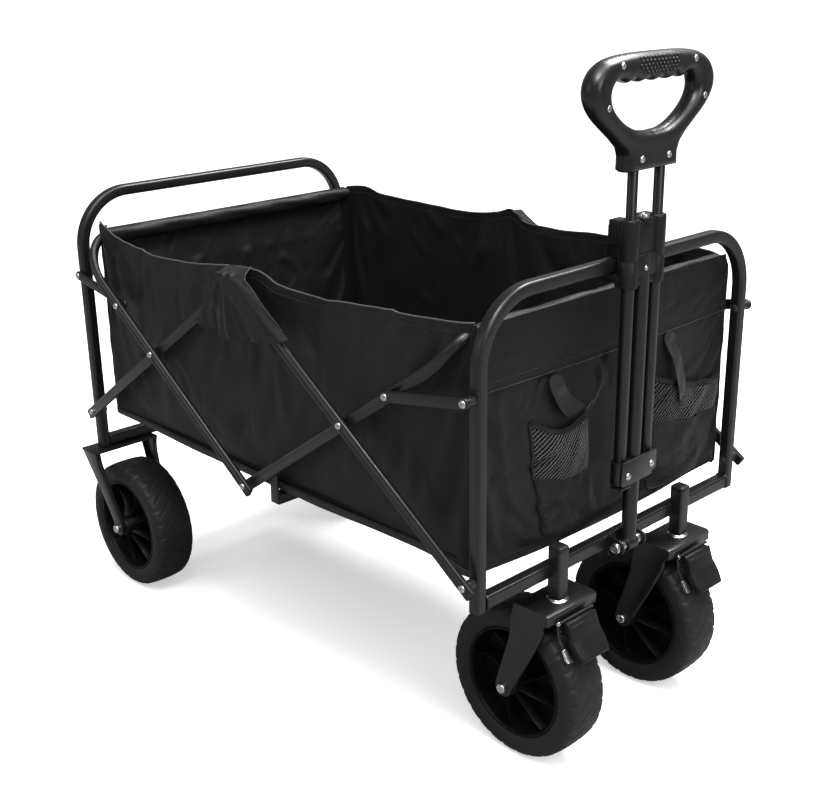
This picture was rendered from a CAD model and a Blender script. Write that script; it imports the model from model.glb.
"""Looks of a folding camp wagon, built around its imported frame.

The open wagon stands on z = 0, with its front and handle towards +x and its left side
towards +y. Sizes are in metres.
"""

import math

import bmesh
import bpy
import numpy as np
from mathutils import Matrix, Vector, noise


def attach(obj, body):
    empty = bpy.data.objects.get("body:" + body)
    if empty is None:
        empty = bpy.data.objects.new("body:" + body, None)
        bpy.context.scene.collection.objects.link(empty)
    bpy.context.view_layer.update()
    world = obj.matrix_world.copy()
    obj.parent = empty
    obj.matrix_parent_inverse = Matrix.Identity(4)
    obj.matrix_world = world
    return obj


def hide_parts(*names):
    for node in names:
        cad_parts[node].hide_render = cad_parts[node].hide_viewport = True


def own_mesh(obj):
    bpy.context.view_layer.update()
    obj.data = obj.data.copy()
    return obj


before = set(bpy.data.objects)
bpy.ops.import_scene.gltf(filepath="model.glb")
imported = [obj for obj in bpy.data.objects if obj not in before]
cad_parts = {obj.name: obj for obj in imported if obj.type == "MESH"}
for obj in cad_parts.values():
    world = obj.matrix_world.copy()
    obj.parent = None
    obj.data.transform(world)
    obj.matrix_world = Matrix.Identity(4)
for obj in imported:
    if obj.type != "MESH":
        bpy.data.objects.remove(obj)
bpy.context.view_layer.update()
SCENE = bpy.context.scene
COLL = SCENE.collection

# ---------------------------------------------------------------- measures
SIDES = (("right", -1), ("left", 1))     # name and sign of y
ENDS = (("rear", -1), ("front", 1))      # name and sign of x

# end arches: square tube, legs at +-LEG_Y
LEG_X, LEG_Y, TUBE, BEND_R = 0.405, 0.25, 0.016, 0.078
LEG_INNER, LEG_OUTER = LEG_Y - TUBE / 2, LEG_Y + TUBE / 2
ARCH_Z = {"front": 0.617, "rear": 0.628}
CROSS_BAR_Z = {"front": 0.264, "rear": 0.241}

# scissor bars: they slope between the foot pivots and the middle of each side
PIVOT_Z, SLOPE = 0.2933, math.radians(34.6)
QUARTER_X = LEG_X / 2
CROSSING_Z = PIVOT_Z + QUARTER_X * math.tan(SLOPE)
TOP_Z = PIVOT_Z + LEG_X * math.tan(SLOPE)
BAR_W, BAR_T = 0.016, 0.0075
# the bars lie in two layers, each from one |y| to another
INNER_LAYER, OUTER_LAYER = (0.2585, 0.266), (0.2683, 0.2758)

# end hems of the bag: |x| by end sign, and height
HEM_AT = {-1: 0.364, 1: 0.38}
HEM_Z = 0.574

# links between the arch legs and the bag's hoops
LINK_LENGTH, LINK_Z = 0.1484, 0.5103
LINK_DX = LINK_LENGTH * math.cos(SLOPE)
LINK_END_Z = TOP_Z - LINK_LENGTH * math.sin(SLOPE)

WHEEL_R, RIM_R = 0.1016, 0.0735
WHEELS = {"front": (0.37, 0.121), "rear": (-0.372, 0.213)}   # x and |y| of the centres
POST_X, FORK_HALF = 0.4213, 0.046
HANDLE_X, HINGE_Z, ROD_Y = 0.4275, 0.262, 0.025


# --------------------------------------------------------------- materials
class Mat:
    """A node material under construction."""

    def __init__(self, name):
        self.material = bpy.data.materials.new(name)
        self.material.use_nodes = True
        self.tree = self.material.node_tree
        self.tree.nodes.clear()
        self.output = self.node("ShaderNodeOutputMaterial")
        self.shader = self.node("ShaderNodeBsdfPrincipled")
        self.link(self.shader, self.output)
        self.coords = self.node("ShaderNodeTexCoord")

    def node(self, kind, **props):
        made = self.tree.nodes.new(kind)
        for key, value in props.items():
            setattr(made, key, value)
        return made

    def link(self, source, target, socket=0, out=0):
        self.tree.links.new(source.outputs[out], target.inputs[socket])

    def noise(self, scale, detail=3.0, rough=0.55, stretch=None):
        made = self.node("ShaderNodeTexNoise")
        made.inputs["Scale"].default_value = scale
        made.inputs["Detail"].default_value = detail
        made.inputs["Roughness"].default_value = rough
        if stretch:
            mapping = self.node("ShaderNodeMapping")
            mapping.inputs["Scale"].default_value = stretch
            self.link(self.coords, mapping, out="Object")
            self.link(mapping, made)
        else:
            self.link(self.coords, made, out="Object")
        return made

    def remap(self, source, *limits):
        """Limits are from low, from high, to low, to high."""
        made = self.node("ShaderNodeMapRange")
        self.link(source, made)
        for socket, value in enumerate(limits, 1):
            made.inputs[socket].default_value = value
        return made

    def math(self, operation, first, second=None):
        """Second may be a node or a number."""
        made = self.node("ShaderNodeMath", operation=operation)
        self.link(first, made)
        if isinstance(second, float):
            made.inputs[1].default_value = second
        elif second is not None:
            self.link(second, made, 1)
        return made

    def colour(self, factor, dark, light):
        made = self.node("ShaderNodeMix", data_type="RGBA")
        self.link(factor, made)
        # sockets 6 and 7 are the two colours, output 2 is their mix
        made.inputs[6].default_value = (*dark, 1)
        made.inputs[7].default_value = (*light, 1)
        self.link(made, self.shader, "Base Color", 2)

    def roughness(self, low, high, scale, detail=3.0):
        ramp = self.remap(self.noise(scale, detail), 0.3, 0.7, low, high)
        self.link(ramp, self.shader, "Roughness")

    def bump(self, source, distance, strength, under=None):
        """Bump shown by the shader, laid over an earlier one if given."""
        made = self.node("ShaderNodeBump")
        made.inputs["Strength"].default_value = strength
        made.inputs["Distance"].default_value = distance
        self.link(source, made, "Height")
        if under is not None:
            self.link(under, made, "Normal")
        self.link(made, self.shader, "Normal")
        return made

    def set(self, **values):
        for key, value in values.items():
            self.shader.inputs[key.replace("_", " ")].default_value = value


def powder_coat():
    mat = Mat("black_powder_coat")
    mat.colour(mat.noise(scale=38.0, detail=4.0), (0.004, 0.004, 0.0046), (0.0075, 0.0074, 0.0082))
    mat.roughness(0.30, 0.42, scale=14.0)
    grain = mat.bump(mat.noise(scale=1100.0, detail=2.0), distance=0.0001, strength=0.30)
    mat.bump(mat.noise(scale=240.0, detail=2.0), distance=0.0001, strength=0.12, under=grain)
    mat.set(Coat_Weight=0.08, Coat_Roughness=0.16, Specular_IOR_Level=0.42)
    return mat.material


def bright_zinc():
    mat = Mat("bright_zinc_plate")
    mat.colour(mat.noise(scale=160.0, detail=5.0), (0.40, 0.40, 0.385), (0.72, 0.71, 0.685))
    mat.roughness(0.16, 0.36, scale=420.0, detail=4.0)
    mat.bump(mat.noise(scale=900.0), distance=0.0001, strength=0.35)
    mat.set(Metallic=1.0)
    return mat.material


def dark_steel():
    mat = Mat("dark_phosphated_steel")
    mat.colour(mat.noise(scale=300.0, detail=4.0), (0.035, 0.035, 0.034), (0.095, 0.093, 0.09))
    mat.roughness(0.28, 0.5, scale=500.0)
    mat.set(Metallic=0.9)
    return mat.material


def plastic(name, dark, light, rough, grain, specular):
    mat = Mat(name)
    mat.colour(mat.noise(scale=26.0, detail=4.0), dark, light)
    mat.roughness(*rough, scale=60.0)
    cells = mat.node("ShaderNodeTexVoronoi")
    cells.inputs["Scale"].default_value = 1500.0
    mat.link(mat.coords, cells, out="Object")
    mat.bump(cells, distance=0.0001, strength=grain)
    mat.set(Specular_IOR_Level=specular)
    return mat.material


def tyre_rubber():
    mat = Mat("tyre_rubber")
    mat.colour(mat.noise(scale=30.0, detail=5.0),
               (0.0075, 0.0075, 0.008), (0.0145, 0.0144, 0.0141))
    mat.roughness(0.46, 0.66, scale=90.0, detail=5.0)
    grain = mat.bump(mat.noise(scale=700.0), distance=0.00016, strength=0.35)
    mat.bump(mat.noise(scale=120.0, detail=4.0), distance=0.0002, strength=0.10, under=grain)
    mat.set(Specular_IOR_Level=0.28)
    return mat.material


def weave(name, dark, light, pitch=0.00075, rough=(0.44, 0.60), sheen=0.03, specular=0.16):
    """Plain weave: threads along the panel and up its height."""
    mat = Mat(name)
    patches = mat.noise(scale=16.0, detail=5.0, rough=0.6)
    streaks = mat.noise(scale=1.0, rough=0.6, stretch=(60, 60, 900))
    streaks = mat.remap(streaks, 0.2, 0.8, -0.22, 0.22)
    mat.colour(mat.math("ADD", patches, streaks), dark, light)
    mat.roughness(*rough, scale=22.0, detail=4.0)
    split = mat.node("ShaderNodeSeparateXYZ")
    mat.link(mat.coords, split, out="Object")
    along = mat.node("ShaderNodeMath", operation="ADD")
    mat.link(split, along, 0, "X")
    mat.link(split, along, 1, "Y")
    waves = []
    for source, out in ((along, 0), (split, "Z")):
        turns = mat.node("ShaderNodeMath", operation="MULTIPLY")
        mat.link(source, turns, 0, out)
        turns.inputs[1].default_value = 2 * math.pi / pitch
        waves.append(mat.math("SINE", turns))
    threads = mat.bump(mat.math("MULTIPLY", *waves), distance=0.00012, strength=0.35)
    swells = mat.bump(mat.noise(scale=95.0, detail=4.0, rough=0.6),
                      distance=0.001, strength=0.10, under=threads)
    mat.bump(mat.noise(scale=1.0, detail=4.0, rough=0.6, stretch=(130, 130, 260)),
             distance=0.0006, strength=0.12, under=swells)
    mat.set(Sheen_Weight=sheen, Sheen_Roughness=0.45, Specular_IOR_Level=specular,
            Sheen_Tint=(0.75, 0.74, 0.72, 1))
    return mat.material


POWDER = powder_coat()
ZINC = bright_zinc()
STEEL = dark_steel()
PLASTIC = plastic("black_moulded_plastic", (0.0045, 0.0045, 0.005), (0.0085, 0.0085, 0.009),
                  rough=(0.36, 0.50), grain=0.35, specular=0.26)
GRIP = plastic("grip_satin_plastic", (0.0055, 0.0055, 0.0058), (0.0095, 0.0094, 0.0092),
               rough=(0.27, 0.36), grain=0.15, specular=0.42)
HUB = plastic("hub_black_plastic", (0.002, 0.002, 0.0022), (0.004, 0.004, 0.0042),
              rough=(0.36, 0.50), grain=0.30, specular=0.13)
TYRE = tyre_rubber()
FABRIC = weave("black_oxford_weave", (0.0044, 0.0041, 0.0043), (0.0086, 0.008, 0.0084),
               rough=(0.40, 0.54), specular=0.22)
LINING = weave("black_lining_weave", (0.0036, 0.0035, 0.0035), (0.0068, 0.0066, 0.0065),
               rough=(0.55, 0.75), sheen=0.015, specular=0.07)
STRAP = weave("ribbed_webbing", (0.0105, 0.0103, 0.01), (0.02, 0.0197, 0.019),
              pitch=0.0019, sheen=0.08, specular=0.2)
NET = weave("net_cord", (0.03, 0.0293, 0.0265), (0.068, 0.066, 0.059),
            pitch=0.001, sheen=0.2, specular=0.4)
THREAD = weave("black_thread", (0.011, 0.011, 0.0108), (0.022, 0.0215, 0.021),
               pitch=0.0008, sheen=0.08, specular=0.25)
EDGING = weave("hem_edging", (0.03, 0.03, 0.0295), (0.06, 0.059, 0.058),
               pitch=0.001, sheen=0.20, specular=0.4)

# every other material is cloth and goes in "bag_fabric"
SLOTS = {POWDER.name: "powder_coat", ZINC.name: "zinc", STEEL.name: "zinc", TYRE.name: "tyre",
         PLASTIC.name: "plastic", GRIP.name: "grip_plastic", HUB.name: "hub_plastic"}

# how cloth gathers as the wagon folds: all of the bag, the front wall, the side flaps
BAG_FOLD = dict(axis=(1, 0, 0), anchor=(-0.37, 0.0, 0.44), keep=0.16)
FRONT_FOLD = dict(axis=(1, 0, 0), anchor=(0.37, 0.0, 0.44), keep=0.34)
FLAP_FOLD = dict(axis=(0.9967, 0, -0.0811), anchor=(-0.4564, 0, 0.6098), keep=0.30)


# ------------------------------------------------------- mesh construction
# A part is a pair: its points and its faces.
def piece(name, parts, material, body, replaces=None, angle=38.0, fold=None):
    """One object from a part or a list of parts, riding on a body of the frame."""
    verts, faces = [], []
    for part_verts, part_faces in parts if isinstance(parts, list) else [parts]:
        start = len(verts)
        verts.extend(tuple(v) for v in part_verts)
        faces.extend(tuple(i + start for i in face) for face in part_faces)
    mesh = bpy.data.meshes.new(name)
    mesh.from_pydata(verts, [], faces)
    bm = bmesh.new()
    bm.from_mesh(mesh)
    bmesh.ops.recalc_face_normals(bm, faces=bm.faces[:])
    bm.to_mesh(mesh)
    bm.free()
    mesh.shade_smooth()
    mesh.set_sharp_from_angle(angle=math.radians(angle))
    mesh.materials.append(material)
    made = bpy.data.objects.new(name, mesh)
    COLL.objects.link(made)
    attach(made, body)
    if replaces:
        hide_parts(replaces)
    SLOTS.get(material.name, "bag_fabric")
    if fold:
        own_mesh(made)


def to_bmesh(verts, faces):
    bm = bmesh.new()
    made = [bm.verts.new(tuple(v)) for v in verts]
    for face in faces:
        bm.faces.new([made[i] for i in face])
    return bm


def from_bmesh(bm):
    bm.verts.index_update()
    verts = [tuple(v.co) for v in bm.verts]
    faces = [tuple(v.index for v in f.verts) for f in bm.faces]
    bm.free()
    return verts, faces


def bevelled(verts, faces, radius, segments, angle):
    bm = to_bmesh(verts, faces)
    bmesh.ops.recalc_face_normals(bm, faces=bm.faces[:])
    edges = [e for e in bm.edges
             if len(e.link_faces) == 2 and e.calc_face_angle(0) > math.radians(angle)]
    bmesh.ops.bevel(bm, geom=edges, offset=radius, segments=segments, affect="EDGES",
                    profile=0.5, clamp_overlap=True)
    return from_bmesh(bm)


def arc(cx, cy, radius, start, end, steps):
    """Points of an arc, angles in degrees."""
    angles = [math.radians(start + (end - start) * i / steps) for i in range(steps + 1)]
    return [(cx + radius * math.cos(a), cy + radius * math.sin(a)) for a in angles]


def rounded(width, height, radius, steps=5):
    """Rectangle with rounded corners, centred on the origin."""
    points = []
    for turn, (sx, sy) in enumerate(((1, 1), (-1, 1), (-1, -1), (1, -1))):
        start = 90 * turn
        points += arc(sx * (width / 2 - radius), sy * (height / 2 - radius), radius,
                      start, start + 90, steps)
    return points


def circle(radius, steps):
    return [(radius * math.cos(2 * math.pi * i / steps), radius * math.sin(2 * math.pi * i / steps))
            for i in range(steps)]


def loft(rings):
    """Capped skin over equal rings."""
    count = len(rings[0])
    verts = [p for ring in rings for p in ring]
    faces = []
    for k in range(len(rings) - 1):
        for i in range(count):
            a, b = k * count + i, k * count + (i + 1) % count
            faces.append((a, b, b + count, a + count))
    faces.append(tuple(range(count - 1, -1, -1)))
    faces.append(tuple((len(rings) - 1) * count + i for i in range(count)))
    return verts, faces


def frames_on(path, normal=None, up=None):
    """(point, first axis, second axis, mitre) along a path.

    The first axis is the path plane's normal, or the vector up carried along.
    """
    frames, carried = [], Vector(up) if up is not None else None
    for i, point in enumerate(path):
        before = (point - path[i - 1]).normalized() if i else None
        after = (path[i + 1] - point).normalized() if i + 1 < len(path) else None
        if before is None or after is None:
            tangent, mitre = after or before, 1.0
        else:
            tangent = (before + after).normalized()
            mitre = 1.0 / max(0.3, tangent.dot(before))
        if normal is not None:
            first = Vector(normal).normalized()
            frames.append((point, first, first.cross(tangent).normalized(), mitre))
        else:
            carried = (carried - tangent * carried.dot(tangent)).normalized()
            frames.append((point, carried, tangent.cross(carried), 1.0))
    return frames


def dome(ring, centre, outward, depth):
    """Three rings that close in on a rounded tip."""
    rings = []
    for j in range(1, 4):
        angle = math.pi / 2 * j / 3 * 0.92
        shrink, offset = 1 - (1 - math.cos(angle)) * 0.45, math.sin(angle) * depth
        rings.append([centre + (p - centre) * shrink + outward * offset for p in ring])
    return rings


def sweep(path, outline, normal=None, up=None, round_ends=0.0):
    """Solid along a path. The outline may be a function of the point's index."""
    path = [Vector(p) for p in path]
    rings = [[point + first * a + second * (b * mitre)
              for a, b in (outline(i) if callable(outline) else outline)]
             for i, (point, first, second, mitre) in enumerate(frames_on(path, normal, up))]
    if round_ends:
        head = dome(rings[0], path[0], (path[0] - path[1]).normalized(), round_ends)
        tail = dome(rings[-1], path[-1], (path[-1] - path[-2]).normalized(), round_ends)
        rings = head[::-1] + rings + tail
    return loft(rings)


def on_axis(axis, height, a, b):
    """Point at a height on one axis; a and b are its other coordinates in order."""
    return {"x": (height, a, b), "y": (a, height, b), "z": (a, b, height)}[axis]


def lathe(axis, centre, profile, steps=32, closed=False):
    """Turned solid; the profile is (radius, coordinate on the axis)."""
    verts, faces, rows = [], [], []
    for radius, height in profile:
        count = 1 if radius < 1e-7 else steps
        rows.append(list(range(len(verts), len(verts) + count)))
        for i in range(count):
            a = 2 * math.pi * i / steps
            verts.append(on_axis(axis, height, centre[0] + radius * math.cos(a),
                                 centre[1] + radius * math.sin(a)))
    pairs = list(zip(rows, rows[1:])) + ([(rows[-1], rows[0])] if closed else [])
    for a, b in pairs:
        for i in range(steps):
            j = (i + 1) % steps
            if len(a) == 1:
                faces.append((a[0], b[i], b[j]))
            elif len(b) == 1:
                faces.append((a[i], a[j], b[0]))
            else:
                faces.append((a[i], a[j], b[j], b[i]))
    return verts, faces


def prism(outline, axis, start, end, radius=0.0008, segments=2):
    """Flat plate from an outline, with rounded rims."""
    verts = [on_axis(axis, height, a, b) for height in (start, end) for a, b in outline]
    count = len(outline)
    faces = [tuple(range(count - 1, -1, -1)), tuple(range(count, 2 * count))]
    faces += [(i, (i + 1) % count, count + (i + 1) % count, count + i) for i in range(count)]
    return bevelled(verts, faces, radius, segments, 50.0)


def rbox(x0, x1, y0, y1, z0, z1, radius, segments=2):
    """Box with rounded edges; y0 and y1 may come in either order."""
    verts = [(x, y, z) for x in (x0, x1) for y in sorted((y0, y1)) for z in (z0, z1)]
    faces = [(0, 1, 3, 2), (4, 6, 7, 5), (0, 4, 5, 1), (2, 3, 7, 6), (0, 2, 6, 4), (1, 5, 7, 3)]
    return bevelled(verts, faces, radius, segments, 30.0)


def hexagon(centre, axis, start, end, across_flats):
    corner = across_flats / math.sqrt(3)
    outline = [(centre[0] + corner * math.cos(math.radians(60 * i + 30)),
                centre[1] + corner * math.sin(math.radians(60 * i + 30))) for i in range(6)]
    return prism(outline, axis, start, end, 0.0004)


def spline_span(a, b, c, d, steps):
    """Catmull-Rom points from b up to, but not at, c."""
    return [tuple(0.5 * ((2 * b) + (-a + c) * t + (2 * a - 5 * b + 4 * c - d) * t * t
                         + (-a + 3 * b - 3 * c + d) * t ** 3))
            for t in (k / steps for k in range(steps))]


def smooth_closed(points, steps):
    P, out, count = [np.array(p, float) for p in points], [], len(points)
    for i in range(count):
        out += spline_span(P[i - 1], P[i], P[(i + 1) % count], P[(i + 2) % count], steps)
    return out


def smooth_open(points, steps):
    P = [np.array(p, float) for p in points]
    P = [2 * P[0] - P[1]] + P + [2 * P[-1] - P[-2]]
    out = []
    for i in range(1, len(P) - 2):
        out += spline_span(*P[i - 1:i + 3], steps)
    out.append(tuple(P[-2]))
    return out


# (share of the radius, share of the rise): flange, dome and rolled eye
RIVET = ((1, 0.20), (0.94, 0.42), (0.78, 0.74), (0.58, 0.96), (0.44, 1), (0.33, 0.90),
         (0.28, 0.60), (0.24, 0.30), (0, 0.22))


def rivet(axis, centre, face, sign=1, radius=0.0048, rise=0.0024):
    """Semi-tubular rivet head on a face, bulging towards sign."""
    profile = [(0.0, face - 0.0006), (radius, face - 0.0006)]
    profile += [(radius * a, face + rise * b) for a, b in RIVET]
    return lathe(axis, centre, [(r, sign * h) for r, h in profile], 28)


def pin(x, z, sign, rest):
    """Pin through an arch leg, with a low head inside it; rest is (radius, |y|) beyond."""
    profile = [(0.0, LEG_INNER - 0.0024), (0.004, LEG_INNER - 0.002),
               (0.0054, LEG_INNER - 0.0008), (0.0054, LEG_INNER), (0.0029, LEG_INNER)] + rest
    return lathe("y", (x, z), [(r, sign * y) for r, y in profile], 20)


# -------------------------------------------------------------- end frames
def weld_bead(x, z, sign):
    """Uneven bead where the cross bar meets a leg."""
    y = sign * (LEG_INNER - 0.0005)
    loop = [Vector((x + a, y, z + b)) for a, b in rounded(TUBE + 0.0006, 0.0186, 0.0036, 4)]
    along_y = Vector((0, 1, 0))
    verts, count = [], len(loop)
    for i, point in enumerate(loop):
        tangent = (loop[(i + 1) % count] - loop[i - 1]).normalized()
        out = along_y.cross(tangent)
        radius = 0.0011 + 0.0003 * math.sin(i * 2.1)
        verts += [point + out * (radius * math.cos(a)) + along_y * (radius * math.sin(a))
                  for a in (0, 1.26, 2.51, 3.77, 5.03)]
    faces = []
    for i in range(count):
        here, there = i * 5, (i + 1) % count * 5
        faces += [(here + j, here + (j + 1) % 5, there + (j + 1) % 5, there + j)
                  for j in range(5)]
    return verts, faces


def end_frame(end, x):
    top, bar_z, body = ARCH_Z[end], CROSS_BAR_Z[end], end + "_frame"
    leg_end = bar_z - 0.009
    bend_y, bend_z = LEG_Y - BEND_R, top - BEND_R
    quarter = [math.radians(90.0 * i / 24) for i in range(25)]
    path = [(x, -LEG_Y, leg_end), (x, -LEG_Y, bend_z)]
    path += [(x, -bend_y - BEND_R * math.cos(a), bend_z + BEND_R * math.sin(a))
             for a in quarter[1:]]
    path += [(x, bend_y + BEND_R * math.sin(a), bend_z + BEND_R * math.cos(a)) for a in quarter]
    path += [(x, LEG_Y, leg_end)]
    piece(end + "_arch_tube", sweep(path, rounded(TUBE, TUBE, 0.0042, 6), normal=(1, 0, 0)),
          POWDER, body, end + "_arch")

    inner = LEG_INNER - 0.0003
    bar = sweep([(x, -inner, bar_z), (x, inner, bar_z)], rounded(TUBE, 0.018, 0.0034, 6),
                normal=(1, 0, 0))
    piece(end + "_cross_bar", [bar] + [weld_bead(x, bar_z, s) for s in (-1, 1)],
          POWDER, body, end + "_crossbar")

    half = 0.0072
    plugs = [rbox(x - half, x + half, s * LEG_Y - half, s * LEG_Y + half,
                  leg_end - 0.0018, leg_end + 0.001, 0.0012, 3) for s in (-1, 1)]
    piece(end + "_leg_plugs", plugs, PLASTIC, body)

    outer = (INNER_LAYER if end == "rear" else OUTER_LAYER)[1]
    for side, sign in SIDES:
        shank = [pin(x, PIVOT_Z, sign, [(0.0029, outer), (0.0, outer)])]
        if end == "front":
            # spacer that fills the inner layer
            spacer = ((0.0031, 0.2583), (0.0064, 0.2583), (0.0064, 0.2725), (0.0031, 0.2725))
            shank.append(lathe("y", (x, PIVOT_Z), [(r, sign * y) for r, y in spacer], 24,
                               closed=True))
        piece(f"{end}_foot_rivet_{side}", rivet("y", (x, PIVOT_Z), outer + 0.0003, sign),
              ZINC, body, f"{end}_pivot_rivet_{side}")
        piece(f"{end}_foot_shank_{side}", shank, STEEL, body)


for end, way in ENDS:
    end_frame(end, way * LEG_X)


# ------------------------------------------------- scissor bars and hoops
def bar_section():
    """Flat oval with a shallow groove along both wide faces; first axis across the wagon."""
    oval = rounded(BAR_T, BAR_W, 0.003, 6)
    section = []
    for (a, b), (next_a, next_b) in zip(oval, oval[1:] + oval[:1]):
        section.append((a, b))
        if abs(a - next_a) < 1e-6 and abs(b - next_b) > 0.004:
            for share in (0.16, 0.30, 0.5, 0.70, 0.84):
                depth = 0.0 if share in (0.16, 0.84) else 0.00065
                section.append((a - math.copysign(depth, a), b + (next_b - b) * share))
    return section


BAR_SECTION = bar_section()
BAR_END = 0.0122    # from the last rivet to the bar's tip


def straight_bar(start, end, layer, sign):
    """Bar between two (x, z) pivots; the end at x = 0 is cut closer to its rivet."""
    a, b = (Vector((x, 0, z)) for x, z in (start, end))
    along = (b - a).normalized()
    shift = Vector((0, sign * (layer[0] + layer[1]) / 2, 0))
    past_a, past_b = (0.005 if abs(p.x) < 0.001 else BAR_END for p in (a, b))
    return sweep([a - along * past_a + shift, b + along * past_b + shift], BAR_SECTION,
                 normal=(0, 1, 0), round_ends=0.0016)


for side, sign in SIDES:
    body = "lower_bar_" + side
    piece("rear_lower_bar_" + side,
          straight_bar((-LEG_X, PIVOT_Z), (0, TOP_Z), INNER_LAYER, sign),
          POWDER, body, "rear_scissor_bar_" + side)
    piece("rear_bar_rivets_" + side,
          [rivet("y", at, OUTER_LAYER[1] + 0.0003, sign)
           for at in ((-QUARTER_X, CROSSING_Z), (0, TOP_Z))], ZINC, body)
    piece("front_lower_bar_" + side,
          straight_bar((0, TOP_Z), (LEG_X, PIVOT_Z), OUTER_LAYER, sign),
          POWDER, "front_bar_" + side, "front_scissor_bar_" + side)


def hoop_tube(way, layer):
    """Both sides of a hoop: each slopes up, then bends into the sleeve of the bag's end hem."""
    y = (layer[0] + layer[1]) / 2
    low = Vector((0, 0, PIVOT_Z))
    slope = Vector((way * math.cos(SLOPE), 0, math.sin(SLOPE)))
    hem_x = way * HEM_AT[way]
    bend = low + slope * ((HEM_AT[way] - 0.046) / math.cos(SLOPE)) + Vector((0, -y, 0))
    hem = Vector((hem_x, -0.227, HEM_Z))
    bend_pull, hem_pull = bend + slope * 0.04, hem + Vector((0, -0.034, 0))
    path = [low - slope * BAR_END + Vector((0, -y, 0))]
    for i in range(29):
        t = i / 28
        path.append(bend * (1 - t) ** 3 + bend_pull * (3 * t * (1 - t) ** 2)
                    + hem_pull * (3 * t * t * (1 - t)) + hem * t ** 3)
    path.append(Vector((hem_x, -0.2215, HEM_Z)))
    flat = [(b, a) for a, b in BAR_SECTION]
    angles = [math.atan2(b, a) for a, b in flat]
    tube = [(0.0068 * math.cos(a), 0.0068 * math.sin(a)) for a in angles]

    def outline(i):
        """The bar's section turns round along the bend."""
        f = clamp((i - 2) / 14.0)
        f = f * f * (3 - 2 * f)
        return [(a[0] * (1 - f) + b[0] * f, a[1] * (1 - f) + b[1] * f)
                for a, b in zip(flat, tube)]

    verts, faces = sweep(path, outline, up=(-way * math.sin(SLOPE), 0, math.cos(SLOPE)),
                         round_ends=0.0016)
    return [(verts, faces), ([(x, -y, z) for x, y, z in verts], [f[::-1] for f in faces])]


def clamp(t):
    return min(1.0, max(0.0, t))


for end, way, layer in (("rear", -1, OUTER_LAYER), ("front", 1, INNER_LAYER)):
    piece(end + "_hoop_tube", hoop_tube(way, layer), POWDER, end + "_bag_frame",
          end + "_bag_frame_tube")
HEM_ROD = ((0.0, -0.2185), (0.0052, -0.2185), (0.006, -0.2177), (0.006, 0.2177),
           (0.0052, 0.2185), (0.0, 0.2185))   # radius, y
for end, way in ENDS:
    piece(end + "_hem_rod", lathe("y", (way * HEM_AT[way], HEM_Z), HEM_ROD, 24),
          POWDER, end + "_wall")
piece("rear_hoop_rivets",
      [rivet("y", (-LEG_X + LINK_DX, LINK_END_Z), OUTER_LAYER[1] + 0.0002, s) for _, s in SIDES],
      ZINC, "rear_bag_frame")
piece("front_hoop_rivets",
      [rivet("y", at, OUTER_LAYER[1] + 0.0003, s) for _, s in SIDES
       for at in ((QUARTER_X, CROSSING_Z), (0, PIVOT_Z))], ZINC, "front_bag_frame")


def floor_tie():
    """Square tube across the wagon, with a lug up to the bar at each end."""
    x, z, half_y = 0.046, 0.284, 0.255
    lug_top = PIVOT_Z + x * math.tan(SLOPE)
    lug = [(x - 0.0075, z - 0.006), (x + 0.0075, z - 0.006)]
    lug += arc(x, lug_top + 0.004, 0.0075, 0, 180, 12)
    tube = sweep([(x, -half_y, z), (x, half_y, z)], rounded(TUBE, TUBE, 0.0034, 5),
                 normal=(1, 0, 0), round_ends=0.001)
    lugs = [prism(lug, "y", s * (half_y + 0.0002), s * (half_y + 0.0032), 0.0005)
            for s in (-1, 1)]
    piece("floor_tie_tube", [tube] + lugs, POWDER, "front_bag_frame", "bottom_cross_tube")


floor_tie()


# ------------------------------------------------------------------- links
def link(side, sign, end, way, layer, inset):
    """Flat link from an arch leg to the hoop, with its rivets."""
    leg_x, end_x = way * LEG_X, way * (LEG_X - LINK_DX)
    angle = math.degrees(math.atan2(LINK_END_Z - LINK_Z, end_x - leg_x))
    outline = arc(leg_x, LINK_Z, 0.007, angle + 90, angle + 270, 14)
    outline += arc(end_x, LINK_END_Z, 0.007, angle - 90, angle + 90, 14)
    inner, outer = layer[0] + inset, layer[1] - inset
    body = f"{end}_link_{side}"
    piece(f"{end}_link_bar_{side}", prism(outline, "y", sign * inner, sign * outer, 0.0022, 4),
          POWDER, body, body)
    at = [(leg_x, LINK_Z)] + ([(end_x, LINK_END_Z)] if end == "front" else [])
    piece(f"{end}_link_rivets_{side}", [rivet("y", p, outer + 0.0001, sign) for p in at],
          ZINC, body)
    beyond = [(0.0029, LEG_OUTER), (0.0056, LEG_OUTER + 0.0003), (0.0056, inner), (0.0, inner)]
    piece(f"{end}_link_shank_{side}", pin(leg_x, LINK_Z, sign, beyond), STEEL, body)


for side, sign in SIDES:
    link(side, sign, "rear", -1, INNER_LAYER, 0.0015)
    link(side, sign, "front", 1, OUTER_LAYER, 0.001)


# ------------------------------------------------------------------ wheels
# (radius, |y|) from the bead out over the shoulder
TYRE_SIDE = [(RIM_R, 0.029), (0.0765, 0.0312), (0.08, 0.0327), (0.085, 0.0326),
             (0.0895, 0.0322), (0.093, 0.0316), (0.0955, 0.0304), (0.0975, 0.0288),
             (0.099, 0.0268), (0.1001, 0.0245)]
TREADS = 28         # repeats of the pattern round the tyre


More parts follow.
